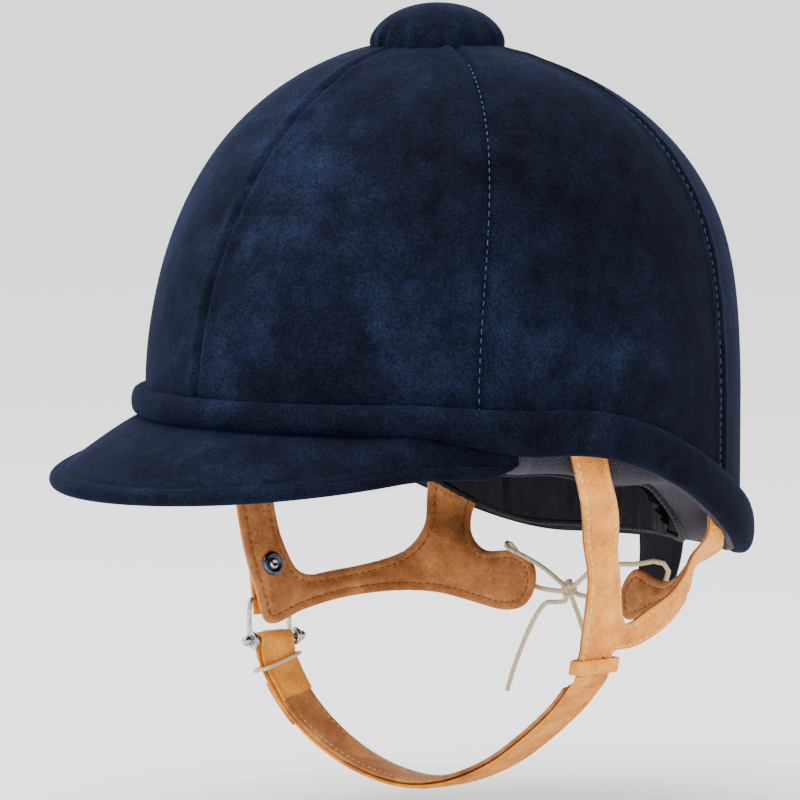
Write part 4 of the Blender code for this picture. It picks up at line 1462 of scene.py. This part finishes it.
    def inside(self, spot: np.ndarray) -> bool:
        """Say whether a flat point lies inside the outline."""
        x, z = spot
        ahead = np.roll(self.edge, -1, axis=0)
        crosses = (self.edge[:, 1] > z) != (ahead[:, 1] > z)
        with np.errstate(divide="ignore", invalid="ignore"):
            where = self.edge[:, 0] + (z - self.edge[:, 1]) * (ahead[:, 0] - self.edge[:, 0]) / (
                ahead[:, 1] - self.edge[:, 1])
        return bool(np.count_nonzero(crosses & (x < where)) % 2)

    def build(self) -> None:
        """Build the leather, the lining and the stitches on both faces."""
        face = HALF_SPLIT + LEATHER
        outer = self.layer(self.name + "_leather", HALF_SPLIT, face, True)
        dress(outer, self.finishes.leather, Body.HELMET, [self.name])
        inner = self.layer(self.name + "_backing", -face, -HALF_SPLIT, False)
        dress(inner, self.finishes.leather_back, Body.HELMET,
              [self.name + "_lining"])
        seam_depth = face - 0.35 * MM
        dress(self.seam(self.name + "_seam_out", seam_depth, self.outer_margin),
              self.outer_thread, Body.HELMET)
        dress(self.seam(self.name + "_seam_in", -seam_depth, self.margin),
              self.finishes.dark_stitch, Body.HELMET)


def between_rows(rows: Sequence[Tuple[Vector, ...]], spot: float) -> List[Vector]:
    """Give the vectors at a place between two rows of a strap.

    Args:
        rows: The rows, each with the same number of vectors.
        spot: The place, counted in rows from the first one.

    Returns:
        The row's vectors at that place.
    """
    low = min(int(spot), len(rows) - 2)
    return [a.lerp(b, spot - low) for a, b in zip(rows[low], rows[low + 1])]


@dataclass
class Strap:
    """A puffed leather strap along a route, with two sewn lines."""

    finishes: Finishes
    width: float
    thickness: float
    across: Vector = field(default_factory=lambda: Vector((0, 1, 0)))

    def frames(self, route: Sequence[Vector]) -> List[Tuple[Vector, Vector, Vector]]:
        """Give each route point with its side and lift directions."""
        made = []
        for k, point in enumerate(route):
            along = (route[min(k + 1, len(route) - 1)] - route[max(k - 1, 0)]).normalized()
            side = (self.across - along * self.across.dot(along)).normalized()
            made.append((point, side, along.cross(side)))
        return made

    def loft(self, name: str, route: Sequence[Vector], lift: float = 0.0, puff: float = 0.5,
             taper: float = 0.0, seed: float = 0.0) -> bpy.types.Object:
        """Make the strap.

        Args:
            name: Its name.
            route: Its middle line, in metres.
            lift: How far it stands off the line.
            puff: How much its faces swell, in millimetres.
            taper: How much narrower its far end is, as a share.
            seed: Moves its creases.

        Returns:
            The strap.
        """
        rows = self.frames(route)
        last = len(rows) - 1

        def place(u: float, v: float) -> Vector:
            """Give a point on the strap's closed section."""
            point, side, up = between_rows(rows, u * last)
            angle = math.tau * v
            half = 0.5 * self.width * (1.0 - taper * u)
            x = signed_power(math.cos(angle), 0.35)
            y = signed_power(math.sin(angle), 0.45)
            edge = (1.0 - abs(x)) * half / MM
            relief = -0.28 * bump(edge - 2.0, 0.5) + puff * ramp(edge, 1.8, 4.0)
            spot_at = point + side * half * x
            relief += 0.35 * rumple(spot_at, 6.0 * MM, seed) * ramp(edge, 0.5, 2.5)
            depth = (0.5 * self.thickness + relief * MM) * y
            return spot_at + up * (lift + depth)

        return wrapped(name, max(last * 4, 24), 48, place, cap=True)

    def sew(self, name: str, route: Sequence[Vector], lift: float, face: float,
            margin: float = 2.0 * MM) -> bpy.types.Object:
        """Sew a line near each edge on one face.

        Args:
            name: The stitches' name.
            route: The strap's middle line.
            lift: How far the strap stands off the line.
            face: 1 for the face that the lift points to, -1 for the other.
            margin: Distance of the line from the edge.

        Returns:
            The stitches.
        """
        rows = self.frames(route)
        lengths = np.cumsum([0.0] + [(b - a).length for a, b in zip(route, route[1:])])
        ends = []
        for edge in (-1, 1):
            for begin in np.arange(1.5 * MM, lengths[-1] - 3.5 * MM, 3.0 * MM):
                pair = []
                for where in (begin, begin + 2.1 * MM):
                    spot = float(np.interp(where, lengths, range(len(rows))))
                    point, side, up = between_rows(rows, spot)
                    out = lift + face * (0.5 * self.thickness - 0.12 * MM)
                    pair.append(point + side * edge * (0.5 * self.width - margin) + up * out)
                ends.append(tuple(pair))
        return stitches(name, ends, 0.3 * MM)


@dataclass
class NapeStrap:
    """The dark strap that hangs from the middle of the back rim."""

    finishes: Finishes

    def build(self) -> None:
        """Build the strap."""
        top = FORM.rim(180.0) / MM
        back = FORM.half_length / MM
        route = smooth_route([(0.0, back - depth, top + rise) for depth, rise in
                              ((8.0, 16.0), (8.0, -1.0), (9.5, -12.0), (14.5, -26.0))], 14)
        strap = Strap(self.finishes, 29.0 * MM, 2.2 * MM, Vector((1, 0, 0)))
        item = strap.loft("nape_strap_webbing", route, puff=0.3, taper=0.36)
        dress(item, self.finishes.webbing, Body.HELMET, ["nape_strap"])


# ---------------------------------------------------------------- fastening


@dataclass
class ChinStrap:
    """The chin strap over the toggle, its turned-back end and its sewn layers."""

    finishes: Finishes
    width: float = 16.0 * MM
    thickness: float = 1.6 * MM
    bar_gap: float = 0.4 * MM
    layer_gap: float = 0.3 * MM
    pad_thickness: float = 2.0 * MM
    layer_thickness: float = 1.5 * MM
    # Where each layer and each seam starts and stops, as steps along the main run.
    pad_run: Tuple[int, int] = (8, -4)
    pad_seam_run: Tuple[int, int] = (10, -6)
    layer_run: Tuple[int, int] = (5, 12)
    layer_seam_run: Tuple[int, int] = (6, 11)
    outer_seam_run: Tuple[int, int] = (13, -4)
    main: Tuple[Tuple[float, float, float], ...] = (
        (-84.9, -18.5, -104.5), (-84.7, -17.9, -109), (-83.6, -16.5, -114.5),
        (-81.5, -14.5, -121), (-77.5, -11.5, -129.5), (-71, -8, -138), (-62, -4, -146),
        (-50, 0, -152.6), (-35, 3, -156.6), (-18, 5, -157.4), (0, 8.5, -154),
        (20, 11, -145.6), (38, 12, -134.4), (56, 11.5, -121.6), (68, 9, -112.4),
        (76.5, 6, -106), (78.8, 5.2, -102.6))
    tail: Tuple[Tuple[float, float, float], ...] = (
        (-76.2, -11.5, -127), (-79.3, -14, -119.5), (-80.9, -16.5, -113), (-80.6, -18, -108.5))

    def build(self) -> None:
        """Build the strap's layers and their stitches."""
        main = smooth_route(self.main, 68)
        tail = smooth_route(self.tail, 14)
        bend = TOGGLE_RADIUS * MM + self.bar_gap + self.thickness / 2
        over = [Vector(TOGGLE_AXIS) * MM + Vector((math.cos(a), 0, math.sin(a))) * bend
                for a in (math.radians(d) for d in range(0, 180, 15))]
        strap = Strap(self.finishes, self.width, self.thickness)
        outer = strap.loft("chin_strap_leather", tail + over + main, puff=0.2)
        dress(outer, self.finishes.leather, Body.CHIN, ["chin_strap"])
        lift = self.thickness / 2 + self.layer_gap
        pad_lift = lift + self.pad_thickness / 2
        layer_lift = -lift - self.layer_thickness / 2
        inner = Strap(self.finishes, self.width, self.pad_thickness)
        padded = inner.loft("chin_strap_pad", main[slice(*self.pad_run)], pad_lift, puff=0.3, seed=4.0)
        dress(padded, self.finishes.leather_back, Body.CHIN,
              ["chin_strap_lining"])
        backing = Strap(self.finishes, self.width - 1 * MM, self.layer_thickness)
        outside = backing.loft("chin_strap_layer", main[slice(*self.layer_run)], layer_lift, puff=0.3,
                               seed=7.0)
        dress(outside, self.finishes.leather, Body.CHIN, ["chin_strap_backing"])
        dress(strap.sew("chin_strap_seam_out", main[slice(*self.outer_seam_run)], 0.0, -1),
              self.finishes.tan_stitch, Body.CHIN)
        dress(inner.sew("chin_strap_seam_in", main[slice(*self.pad_seam_run)], pad_lift, 1),
              self.finishes.tan_stitch, Body.CHIN)
        dress(backing.sew("chin_strap_seam_layer", main[slice(*self.layer_seam_run)], layer_lift, -1),
              self.finishes.tan_stitch, Body.CHIN)


@dataclass
class LeftKeeper:
    """The leather band that hides where the chin strap is sewn to the left guard."""

    finishes: Finishes
    low: float = -103.2 * MM
    high: float = -97.6 * MM

    def point(self, u: float, v: float) -> Vector:
        """Give a point on the band's closed section."""
        turn = math.tau * u
        angle = math.tau * v
        height = 0.5 * (self.low + self.high) + 0.5 * (self.high - self.low) * signed_power(
            math.sin(angle), 0.4)
        middle = COLLAR.half_width + COLLAR.flare * (height - COLLAR.level)
        grow = 0.65 * MM * signed_power(math.cos(angle), 0.5)
        half_y = 9.9 * MM + grow
        half_x = 3.0 * MM + grow
        place = Vector((middle + half_x * signed_power(math.sin(turn), 0.4),
                        5.0 * MM + half_y * signed_power(math.cos(turn), 0.4), height))
        return place + Vector((1, 0, 0)) * 0.25 * MM * rumple(place, 4.0 * MM, 1.0)

    def build(self) -> None:
        """Build the band."""
        band = wrapped("left_keeper_leather", 96, 24, self.point)
        dress(band, self.finishes.leather, Body.HELMET, ["left_keeper"])


@dataclass
class Fastening:
    """The wire link, the toggle bar, the press stud and its flap."""

    finishes: Finishes
    half_bar: float = 15.7
    ball_place: float = 13.4
    ball_half_length: float = 2.3
    ball_radius: float = 2.2
    collar_place: float = 11.0
    link: Tuple[float, float, float] = (-85.5, -18.5, -88.0)
    half_link: float = 10.0
    wire: float = 1.0
    hook_gap: float = 0.45
    hook_sway: float = 1.1
    flap_gap: float = 3.9 * MM
    cap_gap: float = 4.85 * MM
    stud: Tuple[float, float] = (-18.5 * MM, -75.0 * MM)

    def add_link(self) -> None:
        """Bend the wire link with a closed hook round each end of the bar."""
        hook = TOGGLE_RADIUS + self.wire + self.hook_gap
        leg = []
        for angle in range(470, 179, -18):
            turn = math.radians(angle)
            sway = self.hook_sway * (angle - 180.0) / 290.0
            leg.append((TOGGLE_AXIS[0] + hook * math.cos(turn), self.half_link + sway,
                        TOGGLE_AXIS[2] + hook * math.sin(turn)))
        x, _, z = self.link
        leg += [(x, self.half_link, z - 9.0), (x, self.half_link, z - 5.0),
                (x, self.half_link - 0.4, z - 2.0), (x, self.half_link - 1.4, z - 0.5),
                (x, self.half_link - 3.0, z)]
        route = [Vector((a, self.link[1] - b, c)) * MM for a, b, c in leg]
        route += [Vector((a, self.link[1] + b, c)) * MM for a, b, c in leg[::-1]]
        wire = as_mesh(tube("wire_link_bent", route, self.wire * MM))
        dress(wire, self.finishes.steel, Body.LINK, ["wire_link"])

    def bar_point(self, u: float, v: float) -> Vector:
        """Give a point on the turned bar: a round shaft, two collars and two balls."""
        angle = math.tau * u
        place = self.half_bar * (2.0 * v - 1.0)
        reach = abs(place)
        ball = 1.0 - ((reach - self.ball_place) / self.ball_half_length) ** 2
        round_end = self.ball_radius * math.sqrt(max(ball, 0.0))
        radius = round_end if reach >= self.ball_place else max(TOGGLE_RADIUS, round_end)
        radius += 0.5 * bump(reach - self.collar_place, 0.45)
        if reach >= self.half_bar - 1e-6:
            radius = 0.0
        return (Vector(TOGGLE_AXIS) + Vector((radius * math.cos(angle), place,
                                              radius * math.sin(angle)))) * MM

    def add_bar(self) -> None:
        """Turn the toggle bar."""
        bar = wrapped("toggle_bar_turned", 28, 120, self.bar_point)
        dress(bar, self.finishes.steel, Body.TOGGLE, ["toggle_bar"])

    def stud_disc(self, name: str, rings: Sequence[Tuple[float, float]], out: float,
                  finish: bpy.types.Material, body: Body, stands_for: Sequence[str]) -> None:
        """Turn a round metal piece on the stud's axis.

        Args:
            name: The piece's name.
            rings: Its (radius, height) profile in millimetres, from rim to rim.
            out: Where height 0 lies, outwards from the leather's middle.
            finish: Its material.
            body: Its body.
            stands_for: The nodes that it replaces.
        """
        seat = COLLAR.point(*self.stud, Side.RIGHT, out)
        tilt = math.atan(COLLAR.flare)
        way = Vector((-math.cos(tilt), 0.0, -math.sin(tilt)))
        level = Vector((0, 1, 0))
        third = way.cross(level)
        profile = smooth_profile(rings)

        def place(u: float, v: float) -> Vector:
            """Give a point on the turned piece."""
            radius, height = profile(v)
            angle = math.tau * u
            return seat + (level * math.cos(angle) + third * math.sin(angle)) * radius * MM + (
                way * height * MM)

        piece = wrapped(name, 40, 48, place)
        dress(piece, finish, body, stands_for)

    def add_stud(self) -> None:
        """Build the stud's socket on the inner face and its cap on the flap."""
        face = HALF_SPLIT + LEATHER
        self.stud_disc("press_stud_socket",
                       [(0, 0.2), (4.6, 0.2), (4.9, -0.3), (4.4, -1.3), (3.4, -1.5), (2.9, -0.9),
                        (0, -0.8)], -face, self.finishes.dark_steel, Body.HELMET,
                       ["press_stud_post"])
        self.stud_disc("press_stud_eye",
                       [(0, -0.4), (2.0, -0.4), (2.1, -1.4), (1.3, -1.9), (0.8, -1.5),
                        (0, -1.3)], -face, self.finishes.steel, Body.HELMET, [])
        self.stud_disc("press_stud_knob",
                       [(0, -0.6), (3.2, -0.6), (3.3, 0.5), (2.6, 1.4), (0, 1.5)],
                       face, self.finishes.steel, Body.HELMET, [])
        self.stud_disc("press_stud_cap_domed",
                       [(0, 0.0), (4.4, 0.0), (4.5, 0.5), (3.4, 1.3), (1.5, 1.8), (0, 1.9)],
                       face + self.cap_gap, self.finishes.dark_steel, Body.FLAP,
                       ["press_stud_cap"])

    def add_flap(self) -> None:
        """Cut the flap that the stud closes."""
        route = []
        for height in np.linspace(-95.0, -67.0, 12):
            face = COLLAR.half_width + COLLAR.flare * (height * MM - COLLAR.level) + LEATHER
            route.append(Vector((-face - self.flap_gap, self.link[1] * MM, height * MM)))
        strap = Strap(self.finishes, 14.5 * MM, 1.5 * MM)
        flap = strap.loft("stud_flap_leather", route, puff=0.25, taper=0.12, seed=3.0)
        dress(flap, self.finishes.leather, Body.FLAP, ["stud_flap"])

    def build(self) -> None:
        """Build the fastening."""
        self.add_link()
        self.add_bar()
        self.add_stud()
        self.add_flap()


def smooth_profile(rings: Sequence[Tuple[float, float]]
                   ) -> Callable[[float], Tuple[float, float]]:
    """Make a turned piece's profile that reads smoothly from its first ring to its last.

    Args:
        rings: (radius, height) pairs in millimetres.

    Returns:
        A function from a share of the profile to its radius and height.
    """
    count = 120
    route = smooth_route(list(rings), count)
    route[0].x = 0.0
    route[-1].x = 0.0

    def read(share: float) -> Tuple[float, float]:
        """Read the profile at a share of its length."""
        spot = route[round(share * (count - 1))]
        return max(spot.x, 0.0) / MM, spot.y / MM

    return read


# ---------------------------------------------------------------- carried over


def dress_nodes(finishes: Finishes) -> None:
    """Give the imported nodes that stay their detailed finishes.

    Args:
        finishes: The helmet's finishes.
    """
    by_finish: Dict[bpy.types.Material, Sequence[str]] = {
        finishes.steel: ("button_screw", "button_washer", "button_nut", "front_left_rivet",
                         "front_right_rivet", "rear_left_rivet", "rear_right_rivet",
                         "nape_rivet"),
        finishes.board: ("button_core", "peak_board"),
        finishes.shell: ("skull_shell",),
        finishes.foam: ("foam_liner",),
        finishes.cord: ("cord_keeper", "lace_right", "lace_left"),
    }
    for finish, names in by_finish.items():
        for name in names:
            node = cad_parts[name]
            for slot in node.material_slots:
                slot.material = finish
            LOG.info("%s keeps its packed shape", name)


def main() -> None:
    """Build the helmet's looks in order."""
    logging.basicConfig(level=logging.INFO, format="%(message)s")
    Studio().build()
    finishes = Finishes()
    Lace(finishes).build()
    Crown(finishes).build()
    Peak(finishes).build()
    Inside(finishes).build()
    Guard(finishes, Side.RIGHT, "right_guard", RIGHT_OUTLINE, finishes.tan_stitch).build()
    Guard(finishes, Side.LEFT, "left_guard", LEFT_OUTLINE, finishes.stitch,
          outer_margin=1.5 * MM).build()
    NapeStrap(finishes).build()
    ChinStrap(finishes).build()
    LeftKeeper(finishes).build()
    Fastening(finishes).build()
    dress_nodes(finishes)
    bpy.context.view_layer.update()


if __name__ == "__main__":
    main()
